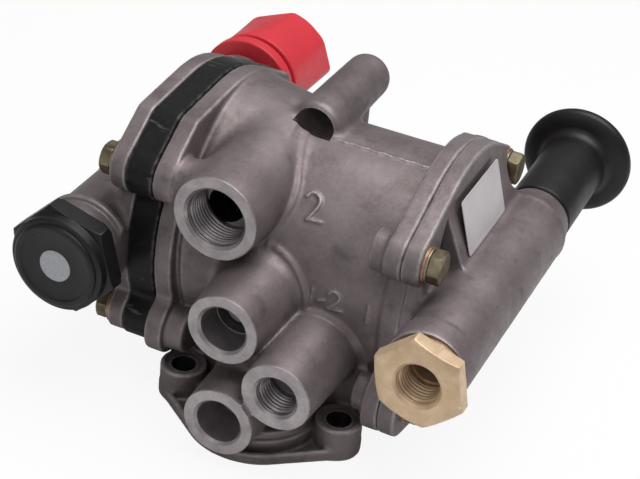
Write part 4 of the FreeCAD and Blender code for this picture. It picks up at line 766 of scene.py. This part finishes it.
def on_barrel(x, angle, height=0.0):
    """Point on the front of the barrel, the angle measured up from the level of its axis."""
    turn = math.radians(angle)
    y, z = math.cos(turn), math.sin(turn)
    raised = max(0.0, (CREST_Z - AXIS_Z) * z - (CREST_Y - AXIS_Y) * y)
    reach = BODY_R + raised + height
    return (x, AXIS_Y - reach * y, AXIS_Z + reach * z)


def curve_through(places, count=14):
    """Smooth line through places given as pairs."""
    line = []
    padded = [places[0]] + list(places) + [places[-1]]
    for number in range(len(places) - 1):
        a, b, c, d = (np.array(padded[number + step], float) for step in range(4))
        for step in range(count):
            t = step / count
            square, cube = 2 * a - 5 * b + 4 * c - d, 3 * b - a - 3 * c + d
            line.append(0.5 * (2 * b + (c - a) * t + square * t ** 2 + cube * t ** 3))
    line.append(np.array(places[-1], float))
    return line


def port_digits(grid, shape):
    """The cast port numbers 2, 1-2 and 1, as thin raised strokes."""
    big_two = [(3.2, 49.5), (4.2, 51.6), (5.8, 52.0), (7.6, 50.4), (8.2, 47.6), (7.6, 44.6), (5.9, 39.4)]
    small_two = [(19.2, 8.4), (20.3, 10.4), (21.6, 10.7), (23.0, 9.2), (23.0, 7.0), (21.4, 3.8), (19.2, 1.0)]
    strokes = [
        curve_through(big_two, 5),
        [(5.7, 39.3), (10.8, 40.0)],
        [(13.6, 8.4), (13.3, 0.5)],
        [(15.9, 3.6), (17.9, 4.7)],
        curve_through(small_two, 5),
        [(19.3, 1.0), (24.2, 1.9)],
        [(33.3, 9.3), (33.2, 0.5)],
    ]
    for number, stroke in enumerate(strokes):
        radius = 0.6 if number < 2 else 0.5
        ridge(grid, shape, [on_barrel(x, angle, 0.15) for x, angle in stroke], radius, 0.3)


def small_cast_marks(grid, shape):
    """Round ejector mark and parting line ridge, as the casting carries them."""
    ring = []
    for step in range(13):
        turn = 2 * math.pi * step / 12
        ring.append(on_barrel(-31.6 + 2.3 * math.cos(turn), 6.5 + 3.1 * math.sin(turn), 2.4))
    ridge(grid, shape, ring, 0.45)
    parting = [(2.0 + 2.0 * step, 84.0 + 0.3 * math.sin(2.3 * step)) for step in range(18)]
    ridge(grid, shape, [on_barrel(x, angle, 0.1) for x, angle in parting], 0.5, 0.3)


def boss_lines(grid, shape):
    """Fine raised lines where the fillets of the port bosses meet the barrel."""
    for centre, radius, first, last in (
        (PORT_12, PORT_12_ROOT_R + 0.8, -8, 84), (LOWER_RIGHT, LOWER_RIGHT_ROOT_R - 1.0, -14, 124),
    ):
        line = []
        for angle in range(first, last, 4):
            turn = math.radians(angle)
            x, z = centre[0] + radius * math.cos(turn), centre[2] + radius * math.sin(turn)
            line.append(on_barrel(x, math.degrees(math.asin((z - AXIS_Z) / BODY_R)), 0.1))
        ridge(grid, shape, line, 0.35, 1.6)
    edge = [
        (-4.4, 21.4), (-3.7, 28.0), (-1.9, 36.8), (-0.6, 45.0),
        (-1.2, 53.0), (-3.2, 61.0), (-6.4, 74.0), (-8.1, 84.0),
    ]
    ridge(grid, shape, [on_barrel(x, angle, 0.1) for x, angle in curve_through(edge, 5)], 0.35, 1.6)


def cast(name, grid, field):
    """Casting from a field, with the slight unevenness of a cast skin."""
    piece = cast_piece(name, grid, field, CAST_SLOTS)
    skin = bpy.data.textures.new(name + " skin", "CLOUDS")
    skin.noise_scale, skin.noise_depth = 4.5 * MM, 2
    uneven = piece.modifiers.new("uneven", "DISPLACE")
    uneven.texture, uneven.texture_coords = skin, "LOCAL"
    uneven.strength, uneven.mid_level = 0.12 * MM, 0.5
    settle(piece)
    return piece


def finish_casting(piece, cutters, node):
    cut(piece, cutters)
    keep_points_apart(piece)
    soften(piece)
    rides(piece, "housing", "casting", node)


def cutter(profile, centre, axis, slot):
    piece = piece_from("cutter", *lathe(profile, centre, axis), CAST_SLOTS)
    for face in piece.data.polygons:
        face.material_index = slot
    face_outwards(piece)
    return piece


def drill(axis, centre, radius, start, end, slot=2):
    return cutter([(0, start), (radius, start), (radius, end), (0, end)], centre, axis, slot)


def face_and_bore(centre, side, face_r, bore_r, depth, chamfer=0.9, groove=0.14):
    """Cutter for a faced boss along Y: fine turned rings, a chamfer and a bore with a drill point."""
    face = centre[1]
    profile = [(0, face + side * 6), (face_r + 0.9, face + side * 6), (face_r + 0.9, face)]
    rings = int((face_r + 0.5 - bore_r - chamfer) / RING_PITCH)
    for ring in range(1, rings):
        profile.append((face_r + 0.5 - RING_PITCH * ring, face - side * groove * (ring % 2)))
    profile += [
        (bore_r + chamfer, face),
        (bore_r, face - side * chamfer),
        (bore_r, face - side * depth),
        (0, face - side * (depth + bore_r * 0.3)),
    ]
    return cutter(profile, centre, 1, 1)


def threaded_ring(name, centre, start, end, bore_r, material, turns=72):
    """Thread inside a bore along Y: a sleeve whose inner side is a helical groove."""
    steps, minor_r, outer_r = 8, bore_r - THREAD_DEPTH, bore_r + 0.3
    count = int((end - start) / THREAD_PITCH * steps)
    points = []
    for row in range(count + 1):
        along = start + (end - start) * row / count
        for step in range(turns):
            phase = (row / steps - step / turns) % 1.0
            crest = abs(2 * phase - 1)
            fade = min(1.0, row / steps / 1.5, (count - row) / steps / 1.5)
            radius = minor_r + THREAD_DEPTH * (1 - min(1.0, crest * 1.25) * fade)
            points.append(on_circle(centre, 1, along, radius, step, turns))
    for along in (end, start):
        points += [on_circle(centre, 1, along, outer_r, step, turns) for step in range(turns)]
    return plain_piece(name, (points, faces_between(count + 3, turns, True)), material, 50)


def make_body():
    grid = Grid((LEFT_FACE_X - 1, LOWER_LEFT[1] - 1.5, -1), (RIGHT_FACE_X + 1, 97, 102.5), GRID)
    field = cast_body_field(grid)
    port_digits(grid, field)
    small_cast_marks(grid, field)
    boss_lines(grid, field)
    body = cast("valve_body", grid, field)
    main = (0, AXIS_Y, AXIS_Z)
    left_end, right_end = LEFT_FACE_X - 3, RIGHT_FACE_X + 3
    cutters = [
        face_and_bore(PORT_2, -1, PORT_2_R, PORT_2_THREAD_R, 15),
        face_and_bore(PORT_12, -1, PORT_12_R, PORT_12_BORE_R, 11.8),
        face_and_bore(LOWER_LEFT, -1, LOWER_LEFT_R, LOWER_LEFT_BORE_R, 16),
        face_and_bore(LOWER_RIGHT, -1, LOWER_RIGHT_R, LOWER_RIGHT_THREAD_R, 13),
        drill(1, (PORT_2[0] - 3, 0, PORT_2[2] - 3.25), 6.5, PORT_2[1] + 12, AXIS_Y),
        drill(0, main, DELIVERY_BORE_R, left_end, PARTITION_X),
        drill(0, main, SUPPLY_BORE_R, PARTITION_END_X, right_end),
        drill(0, main, VALVE_OPENING_R, PARTITION_X - 1, PARTITION_END_X + 1),
        # Slot 3 gives the vent bore the vent wall finish, with its painted light.
        drill(1, (TUBE_X, 0, TUBE_Z), TUBE_BORE_R, TUBE_FRONT_Y - 3, TUBE_BORE_END_Y, 3),
        drill(2, (0, 0, 0), GALLERY_BORE_R, -1, GALLERY_END_Z),
        drill(2, (0, 0, 0), REGISTER_R, -2, REGISTER_Z, 1),
    ]
    for side in (-1, 1):
        cutters.append(drill(2, (side * EAR_X, 0, 0), EAR_HOLE_R, -2, EAR_T + 2))
        cutters.append(drill(2, (side * EAR_X, 0, 0), EAR_SPOT_R, EAR_SPOT_Z, EAR_T + 3, 0))
    finish_casting(body, cutters, "main_body")
    for name, centre, radius, depth in (
        ("port_2_thread", PORT_2, PORT_2_THREAD_R, 14.5),
        ("lower_right_thread", LOWER_RIGHT, LOWER_RIGHT_THREAD_R, 12.5),
    ):
        ring = threaded_ring(name, centre, centre[1] + 0.9, centre[1] + depth, radius, THREAD)
        rides(ring, "housing", "casting")


def make_spacer():
    grid = Grid((SPACER_X - 1, -15, -1), (LEFT_FACE_X + 1, 100, 102.5), GRID)
    outer = left_outline(grid, LEFT_LOW_LOBE_R, SPACER_PROUD)
    field = smooth_max(outer, slab(grid.x, SPACER_X + 0.15, LEFT_FACE_X - 0.1), 0.7)
    field = np.maximum(field, 8 - np.hypot(grid.y - AXIS_Y, grid.z - AXIS_Z) + 0 * grid.x)
    spacer = cast_piece("spacer_ring", grid, field.astype(np.float32), [BLACK])
    settle(spacer)
    soften(spacer)
    rides(spacer, "housing", "black_coating", "spacer_plate")


def make_left_cover():
    grid = Grid((-84, EXHAUST_FRONT_Y - 1.5, -1), (SPACER_X + 1, PARK_BACK_Y + 1.5, 102.5), GRID)
    main = (AXIS_Y, AXIS_Z)
    field = smooth_max(left_outline(grid, LEFT_LOW_LOBE_R), slab(grid.x, COVER_X, SPACER_X), 0.9)
    pan = rod(grid, 0, main, PAN_R - 3.5, COVER_X - PAN_DEPTH, COVER_X, PAN_R, edge=2)
    field = smooth_min(field, pan, 2)
    park = rod(grid, 1, (PARK_X, PARK_Z), PARK_R, EXHAUST_END_Y, PARK_BACK_Y, edge=1.6)
    web = block(grid, (PARK_X, 10, EXHAUST_Z - 9), (COVER_X, 92, PARK_Z + 9), 2)
    centre, front = (EXHAUST_X, EXHAUST_Z), EXHAUST_FRONT_Y - FACE_STOCK
    boss = rod(grid, 1, centre, EXHAUST_R, front, EXHAUST_BACK_Y, EXHAUST_ROOT_R, edge=1.2)
    collar_end = EXHAUST_COLLAR_Y + EXHAUST_COLLAR_L
    collar = rod(grid, 1, centre, EXHAUST_COLLAR_R, EXHAUST_COLLAR_Y, collar_end, edge=1.2)
    field = smooth_min(smooth_min(field, web, 3), park, 3)
    field = smooth_min(smooth_min(field, boss, 3), collar, 0.8)
    field = np.maximum(field, grid.x - SPACER_X)
    cover = cast("left_casting", grid, field)
    exhaust, park_axis = (EXHAUST_X, EXHAUST_FRONT_Y, EXHAUST_Z), (PARK_X, PARK_BACK_Y, PARK_Z)
    cutters = [
        face_and_bore(exhaust, -1, EXHAUST_R, CAP_THREAD_R, CAP_THREAD_L, 0.4),
        drill(1, exhaust, EXHAUST_BORE_R, EXHAUST_FRONT_Y + 5, EXHAUST_END_Y),
        face_and_bore(park_axis, 1, PARK_R, PARK_MOUTH_R, PARK_MOUTH_L, 0.4),
        drill(1, park_axis, PARK_BORE_R, PARK_START_Y, PARK_BACK_Y - 5),
    ]
    cutters += [drill(0, (0, y, z), SEAT_R, COVER_X - 9, COVER_X, 0) for y, z in LEFT_BOLTS]
    finish_casting(cover, cutters, "left_cover")


def make_right_cover():
    grid = Grid((RIGHT_FACE_X - 1, SHUNT_FRONT_Y - 1.5, -1), (77.5, SHUNT_MOUTH_Y + 1.5, 99.5), GRID)
    field = smooth_max(right_outline(grid), slab(grid.x, RIGHT_FACE_X, PLATE_X), 0.9)
    wedge = polygon(grid.x, grid.z, SLOPE)
    wedge = smooth_max(wedge, slab(grid.y, SLOPE_FRONT_Y, SLOPE_BACK_Y), 0.7)
    wedge = smooth_max(wedge, np.hypot(grid.y - AXIS_Y, grid.z - AXIS_Z) - RIGHT_TOP_R, 0.7)
    web = block(grid, (RIGHT_FACE_X, 8, SHUNT_Z - 9), (SHUNT_X, 80, SHUNT_Z + 9), 2)
    rounding = SHUNT_MOUTH_Y - SHUNT_ROUNDING_L
    centre = (SHUNT_X, SHUNT_Z)
    start = SHUNT_FRONT_Y - FACE_STOCK
    tube = rod(grid, 1, centre, SHUNT_FRONT_R, start, rounding, SHUNT_BACK_R, edge=1.0)
    mouth = rod(grid, 1, centre, SHUNT_BACK_R, rounding - 1, SHUNT_MOUTH_Y, SHUNT_END_R, edge=1.6)
    collar_centre = (SHUNT_COLLAR_X, SHUNT_COLLAR_Z)
    collar = rod(grid, 1, collar_centre, SHUNT_COLLAR_R, start, SHUNT_COLLAR_Y, edge=1.2)
    field = smooth_min(smooth_min(field, wedge, 1.2), web, 3)
    pocket = polygon(grid.y, grid.z, [(SLOPE_FRONT_Y, 87.0), (SLOPE_FRONT_Y, 67.5), (14.0, 70.5)], 0.8)
    field = smooth_max(field, -smooth_max(pocket, slab(grid.x, POCKET_X, PLATE_X + 9), 0.5), 0.5)
    tube = smooth_min(smooth_min(tube, mouth, 1.5), collar, 0.8)
    field = smooth_min(field, tube, 3)
    field = np.maximum(field, RIGHT_FACE_X - grid.x)
    cover = cast("right_casting", grid, field)
    front, back = (SHUNT_X, SHUNT_FRONT_Y, SHUNT_Z), (SHUNT_X, SHUNT_MOUTH_Y, SHUNT_Z)
    cutters = [
        face_and_bore(front, -1, SHUNT_FRONT_R, ADAPTER_THREAD_R, ADAPTER_THREAD_L, 0.4),
        face_and_bore(back, 1, SHUNT_END_R, SHUNT_MOUTH_R, SHUNT_MOUTH_L, 0.5),
        drill(1, front, SHUNT_BORE_R, SHUNT_FRONT_Y + 8, SHUNT_MOUTH_Y - 3),
    ]
    cutters += [drill(0, (0, y, z), SEAT_R, PLATE_X, PLATE_X + 12, 0) for y, z in RIGHT_BOLTS]
    finish_casting(cover, cutters, "right_cover")


# Turned and hexagonal pieces

def hexed(profile, centre, axis, half_flats, turn, turns):
    """Like lathe, but profile points with a third entry are held inside a hexagon."""
    points, faces = lathe([entry[:2] for entry in profile], centre, axis, turns)
    start = 0
    first, second = (axis + 1) % 3, (axis + 2) % 3
    for entry in profile:
        ring = turns if entry[0] > 0 else 1
        if len(entry) > 2:
            for number in range(start, start + ring):
                across = points[number][first] - centre[first]
                up = points[number][second] - centre[second]
                angle = math.degrees(math.atan2(up, across)) - turn
                flat = half_flats / math.cos(math.radians((angle + 30) % 60 - 30))
                reach = math.hypot(across, up)
                if reach > flat:
                    points[number][first] = centre[first] + across * flat / reach
                    points[number][second] = centre[second] + up * flat / reach
        start += ring
    return points, faces


def corner_bevel(first_r, last_r, start, drop, power, steps=6):
    """Profile points of a bevel turned over the corners of a hexagon."""
    shares = [step / steps for step in range(1, steps + 1)]
    return [(first_r + (last_r - first_r) * share, start + drop * share ** power, True) for share in shares]


def merged(parts):
    """Points and faces of several parts as one list each."""
    points, faces = [], []
    for part_points, part_faces in parts:
        shift = len(points)
        points += part_points
        faces += [[corner + shift for corner in face] for face in part_faces]
    return points, faces


def bolt_shape(place, seat_x, side, tip_x, turn):
    """Hexagon head with a turned bevel, a shallow washer face and a plain shank."""
    corner = BOLT_FLATS / 2 / math.cos(math.pi / 6)
    top = seat_x + side * BOLT_HEAD_T
    profile = [(0, top - side * 0.25), (2.6, top - side * 0.25), (3.4, top), (4.6, top)]
    profile += corner_bevel(4.6, corner + 0.15, top, -side * 0.75, 1.6, 5)
    profile += [(corner + 0.15, seat_x + side * 0.5, True), (corner - 0.25, seat_x + side * 0.2, True)]
    profile += [(4.7, seat_x + side * 0.05), (BOLT_R, seat_x + side * 0.05), (BOLT_R, tip_x), (0, tip_x)]
    return hexed(profile, (0, place[0], place[1]), 0, BOLT_FLATS / 2, turn, 120)


def washer_shape(place, seat_x, side, outer_r, thickness):
    top = seat_x + side * thickness
    rim = [(outer_r, seat_x), (outer_r, top - side * 0.2), (outer_r - 0.25, top)]
    profile = [(WASHER_HOLE_R, seat_x), *rim, (WASHER_HOLE_R, top)]
    return lathe(profile, (0, place[0], place[1]), 0, 72)


def make_bolts():
    turns = (8, 31, 17, 46)
    for side, places, seat_x, tip_x, name in (
        (-1, LEFT_BOLTS, COVER_X, LEFT_FACE_X + LEFT_FLANGE_T + 3.0, "left"),
        (1, RIGHT_BOLTS, PLATE_X, RIGHT_FACE_X - RIGHT_FLANGE_T - 1.5, "right"),
    ):
        heads, coppers, steels = [], [], []
        for place, turn in zip(places, turns):
            heads.append(bolt_shape(place, seat_x + side * (COPPER_T + SPRING_T), side, tip_x, turn))
            coppers.append(washer_shape(place, seat_x, side, COPPER_R, COPPER_T))
            steels.append(washer_shape(place, seat_x + side * COPPER_T, side, SPRING_R, SPRING_T))
        for parts, material, slot, node, label in (
            (heads, ZINC, "bolt_zinc", name + "_bolts", "_hex_bolts"),
            (coppers, COPPER, "copper", name + "_washers", "_copper_washers"),
            (steels, STEEL, "spring_steel", None, "_spring_washers"),
        ):
            piece = plain_piece(name + label, merged(parts), material, 28)
            rides(piece, "housing", slot, *([node] if node else []))


def make_cap():
    """Black exhaust cap: washer, hexagon, round step, rough rim and a dished face."""
    axis_point = (EXHAUST_X, 0, EXHAUST_Z)
    seat = EXHAUST_FRONT_Y - WASHER_T
    hex_front, round_front, face = seat - CAP_HEX_L, seat - CAP_STEP_L, seat - CAP_L
    corner = CAP_FLATS / 2 / math.cos(math.pi / 6)
    profile = [(0, face + 1.0), (5.8, face + 1.0)]
    for step in range(13):
        share = step / 12
        dip = 1.0 - 0.55 * share ** 2 + 0.05 * (step % 2)
        profile.append((6.0 + 6.6 * share, face + dip))
    profile += [(12.9, face + 0.1), (13.4, face), (14.6, face), (15.2, face + 0.5), (15.2, round_front - 0.1)]
    profile += [(16.4, round_front), (17.0, round_front + 0.5), (17.0, hex_front - 0.4), (17.2, hex_front)]
    profile += corner_bevel(17.2, corner + 0.3, hex_front, 1.15, 1.5)
    profile += [(corner + 0.3, seat - 1.1, True), (corner - 0.9, seat - 0.3, True), (16.0, seat)]
    end = EXHAUST_FRONT_Y + CAP_THREAD_L
    profile += [(10.9, seat), (10.9, end), (0, end)]
    shape = hexed(profile, axis_point, 1, CAP_FLATS / 2, 15, 240)
    cap = plain_piece("exhaust_hex_cap", shape, BLACK_PLASTIC, 25, 0.18)
    rides(cap, "housing", "black_plastic", "exhaust_cap")
    profile = [(0, face + 0.85), (0.5, face + 0.85), (0.8, face + 0.75), (5.2, face + 0.6), (5.7, face + 0.8)]
    profile += [(5.7, face + 2.5), (0, face + 2.5)]
    dot = plain_piece("silencer_face", lathe(profile, axis_point, 1), SILENCER, 30)
    rides(dot, "housing", "silencer_plastic", "exhaust_silencer")
    back = seat + WASHER_T
    profile = [(11.2, seat), (14.6, seat), (14.9, seat + WASHER_T / 2), (14.6, back), (11.2, back)]
    ring = plain_piece("exhaust_seal_ring", lathe(profile, axis_point, 1), RUBBER)
    rides(ring, "housing", "seal_rubber", "exhaust_cap_washer")


def make_adapter():
    """Brass adapter: bevelled hexagon, chamfered threaded socket and a copper washer."""
    seat = SHUNT_FRONT_Y - WASHER_T
    front = seat - ADAPTER_HEX_L
    axis_point = (SHUNT_X, 0, SHUNT_Z)
    corner, socket_r = ADAPTER_FLATS / 2 / math.cos(math.pi / 6), ADAPTER_SOCKET_R
    end, floor = SHUNT_FRONT_Y + ADAPTER_THREAD_L, front + ADAPTER_SOCKET_L
    profile = [(6.6, end), (6.6, floor), (socket_r, floor), (socket_r, front + 1.0)]
    profile += [(socket_r + 1.0, front), (12.6, front), (13.0, front + 0.1)]
    profile += corner_bevel(13.0, corner + 0.2, front + 0.1, 1.5, 1.4)
    profile += [(corner + 0.2, seat - 1.5, True), (13.2, seat - 0.1, True), (12.4, seat)]
    profile += [(9.4, seat), (9.4, end)]
    shape = hexed(profile, axis_point, 1, ADAPTER_FLATS / 2, 18, 240)
    adapter = plain_piece("brass_hex_adapter", shape, BRASS, 22, 0.12)
    rides(adapter, "housing", "brass", "brass_adapter")
    thread = threaded_ring("adapter_thread", axis_point, front + 1.0, floor - 0.5, socket_r, BRASS)
    rides(thread, "housing", "brass")
    back = seat + WASHER_T
    rim = [(12.7, seat), (12.95, seat + 0.3), (12.95, back - 0.3), (12.7, back)]
    shape = lathe([(9.7, seat), *rim, (9.7, back)], axis_point, 1)
    rides(plain_piece("adapter_copper_washer", shape, COPPER), "housing", "copper", "adapter_washer")


def make_black_knob():
    """Mushroom knob of the shunt valve: stem, short neck, disc with a rounded rim, low dome."""
    start, stem_end, stem_r = SHUNT_MOUTH_Y + BLACK_STEM_START, SHUNT_MOUTH_Y + BLACK_STEM_L, BLACK_STEM_R
    profile = [(0, start + SOCKET_L), (BLACK_SOCKET_R, start + SOCKET_L), (BLACK_SOCKET_R, start)]
    profile += [(11.2, start), (stem_r, start + 0.8), (stem_r, stem_end - 1.6)]
    for step in range(1, 11):
        turn = math.radians(90 * step / 10)
        profile.append((stem_r + 3.4 * (1 - math.cos(turn)), stem_end - 1.6 + 4.0 * math.sin(turn)))
    rim = stem_end + 4.5
    profile += [(17.5, rim - 1.6), (19.4, rim - 0.9), (20.2, rim)]
    profile += [(BLACK_RIM_R, rim + 0.8), (BLACK_RIM_R, rim + 1.9)]
    profile.append((20.1, rim + 2.7))
    for step in range(1, 15):
        turn = math.radians(90 * step / 15)
        profile.append((19.9 * math.cos(turn), rim + 2.7 + 3.8 * math.sin(turn)))
    profile.append((0, rim + 6.6))
    shape = lathe(profile, (SHUNT_X, 0, SHUNT_Z), 1, 144)
    knob = plain_piece("shunt_mushroom_knob", shape, BLACK_PLASTIC, 40, 0.25)
    rides(knob, "shunt_valve", "black_plastic", "shunt_knob")


def make_red_knob():
    """Park knob: round base, finger groove and a grip that goes from round to a long faceted shape."""
    start = PARK_BACK_Y + RED_START
    groove, body, end = start + RED_BASE_L, start + RED_GROOVE_END, start + RED_L
    low = (PARK_X - RED_REACH, start - 1, PARK_Z - RED_REACH)
    grid = Grid(low, (PARK_X + RED_REACH, end + 1, PARK_Z + RED_REACH), GRID * 0.8)
    centre = (PARK_X, PARK_Z)
    base = rod(grid, 1, centre, RED_BASE_R, start, groove, edge=0.7)
    neck = rod(grid, 1, centre, RED_NECK_R, start + 1, body + 2)
    share = np.clip((grid.y - body) / (end - body), 0, 1)
    x, z = grid.x - PARK_X, grid.z - PARK_Z
    corners = RED_GRIP_CORNERS + [(-a, -b) for a, b in RED_GRIP_CORNERS]
    oval = polygon(x, z, corners, 1.2)
    side = np.hypot(x, z) - RED_GRIP_R
    side = side + (oval - side) * share
    grip = smooth_max(side, slab(grid.y, body, end), 0.9)
    field = smooth_min(smooth_min(base, neck, 0.8), grip, 0.8)
    socket = rod(grid, 1, centre, SOCKET_R, start - 5, start + SOCKET_L)
    field = np.maximum(field, -socket)
    knob = cast_piece("park_grip_knob", grid, field.astype(np.float32), [RED_PLASTIC], 3)
    settle(knob)
    soften(knob, 50)
    rides(knob, "park_valve", "red_plastic", "park_knob")


def make_label():
    """Bare foil label with a raised edge, laid on the sloped face of the right cover."""
    top, foot = (Vector((x, 0, z)) for x, z in SLOPE[1:3])
    down = (foot - top).normalized()
    outward = Vector((-down.z, 0, down.x))
    across = Vector((0, 1, 0))
    centre = top + down * (LABEL_DROP + LABEL_H / 2) + Vector((0, LABEL_Y, 0))
    points = []
    levels = [(0, 0.02), (0, 0.26), (0.15, 0.30), (0.9, 0.30), (1.05, 0.25)]
    corners = 6
    for inset, height in levels:
        for corner in range(4):
            side_y, side_d = ((1, 1), (-1, 1), (-1, -1), (1, -1))[corner]
            radius = max(LABEL_CORNER_R - inset, 0.3)
            for step in range(corners + 1):
                turn = math.radians(90 * corner + 90 * step / corners)
                y = side_y * (LABEL_W / 2 - inset - radius) + radius * math.cos(turn)
                d = side_d * (LABEL_H / 2 - inset - radius) + radius * math.sin(turn)
                points.append(centre + across * y + down * d + outward * height)
    ring = 4 * (corners + 1)
    faces = faces_between(len(levels), ring, False)
    faces.append(tuple(range(ring)))
    faces.append(tuple((len(levels) - 1) * ring + step for step in range(ring)))
    label = piece_from("bare_label", points, faces, [FILM])
    face_outwards(label)
    rides(label, "housing", "label_film", "label_plate")


NODE_FINISHES = {
    "machined_alloy": MACHINED,
    "seal_rubber": RUBBER,
    "spring_steel": STEEL,
    "brass": BRASS,
    "black_plastic": BLACK_PLASTIC,
    "copper": COPPER,
    "silencer_plastic": SILENCER,
    "casting": CAST,
    "black_coating": BLACK,
    "bolt_zinc": ZINC,
    "red_plastic": RED_PLASTIC,
    "label_film": FILM,
}


def finish_nodes():
    """Gives every CAD node the finish of its slot in the record, then gives the brass check valve seat and
    poppet the near-black bore finish as painted shade of the port cavity.
    """
    for subpart in frame["record"]["subparts"]:
        node = frame["nodes"][subpart["node"]]
        node.data.materials.clear()
        node.data.materials.append(NODE_FINISHES[subpart["material_slot"]])
    # Painted shade: the check valve seat and poppet, brass in the record, take the dark bore finish so the
    # port cavity reads as shaded.
    for name in ("check_valve_seat", "check_valve_poppet"):
        frame["nodes"][name].data.materials[0] = BORE


# Surroundings

def show_camera(tree, first, second, share, output):
    """Shows second in place of first, by a share, to rays that come straight from the camera."""
    path = add_node(tree, "ShaderNodeLightPath").outputs["Is Camera Ray"]
    share = add_node(tree, "ShaderNodeMath", {0: path, 1: share}, operation="MULTIPLY").outputs[0]
    blend = add_node(tree, "ShaderNodeMixShader", {0: share, 1: first.outputs[0], 2: second.outputs[0]})
    tree.links.new(blend.outputs[0], tree.nodes[output].inputs["Surface"])


def make_floor():
    material = bpy.data.materials.new("paper floor")
    material.use_nodes = True
    tree = material.node_tree
    diffuse = tree.nodes["Principled BSDF"]
    diffuse.inputs["Base Color"].default_value = grey(0.80)
    diffuse.inputs["Roughness"].default_value = 0.9
    show_camera(tree, diffuse, add_node(tree, "ShaderNodeEmission"), 0.90, "Material Output")
    half = 3000
    points = [(-half, -half, 0), (half, -half, 0), (half, half, 0), (-half, half, 0)]
    floor = piece_from("paper_floor", points, [(0, 1, 2, 3)], [material])
    floor.location.z = -0.3 * MM


def make_world():
    """Pale studio, brighter above, that shows as plain white in the picture."""
    world = bpy.data.worlds.new("studio")
    world.use_nodes = True
    bpy.context.scene.world = world
    tree = world.node_tree
    place = add_node(tree, "ShaderNodeTexCoord").outputs["Generated"]
    up = add_node(tree, "ShaderNodeSeparateXYZ", {0: place}).outputs["Z"]
    levels = {"Value": up, "From Min": -0.3, "From Max": 0.9, "To Min": 0.06, "To Max": 0.50}
    strength = add_node(tree, "ShaderNodeMapRange", levels).outputs["Result"]
    lit = tree.nodes["Background"]
    lit.inputs["Color"].default_value = (1, 1, 1, 1)
    tree.links.new(strength, lit.inputs["Strength"])
    white = add_node(tree, "ShaderNodeBackground", {"Color": (1, 1, 1, 1), "Strength": 1.0})
    show_camera(tree, lit, white, 1.0, "World Output")


def area_light(name, place, target, size, power):
    light = bpy.data.lights.new(name, "AREA")
    light.shape, light.size, light.energy = "DISK", size * MM, power
    lamp = bpy.data.objects.new(name, light)
    lamp.location = Vector(place) * MM
    aim = (Vector(target) - Vector(place)).normalized()
    lamp.rotation_euler = aim.to_track_quat("-Z", "Y").to_euler()
    bpy.context.scene.collection.objects.link(lamp)


def make_camera():
    camera = bpy.data.cameras.new("camera")
    camera.lens, camera.sensor_width = 95.625, 36
    camera.clip_start, camera.clip_end = 0.01, 20
    eye = bpy.data.objects.new("camera", camera)
    right = Vector((0.9048, 0.4163, 0.0893)).normalized()
    back = Vector((0.3080, -0.7848, 0.5378)).normalized()
    up = back.cross(right)
    turn = Matrix((right, up, back)).transposed()
    eye.matrix_world = Matrix.Translation(Vector((180.05, -418.61, 364.64)) * MM) @ turn.to_4x4()
    bpy.context.scene.collection.objects.link(eye)
    bpy.context.scene.camera = eye


finish_nodes()
make_body()
make_spacer()
make_left_cover()
make_right_cover()
make_bolts()
make_cap()
make_adapter()
make_black_knob()
make_red_knob()
make_label()
make_floor()
make_world()
area_light("top light", (140, 90, 640), (0, 30, 50), 600, 4.1)
area_light("front light", (-60, -560, 420), (0, 20, 50), 500, 0.5)
make_camera()
bpy.context.scene.view_settings.view_transform = "Standard"
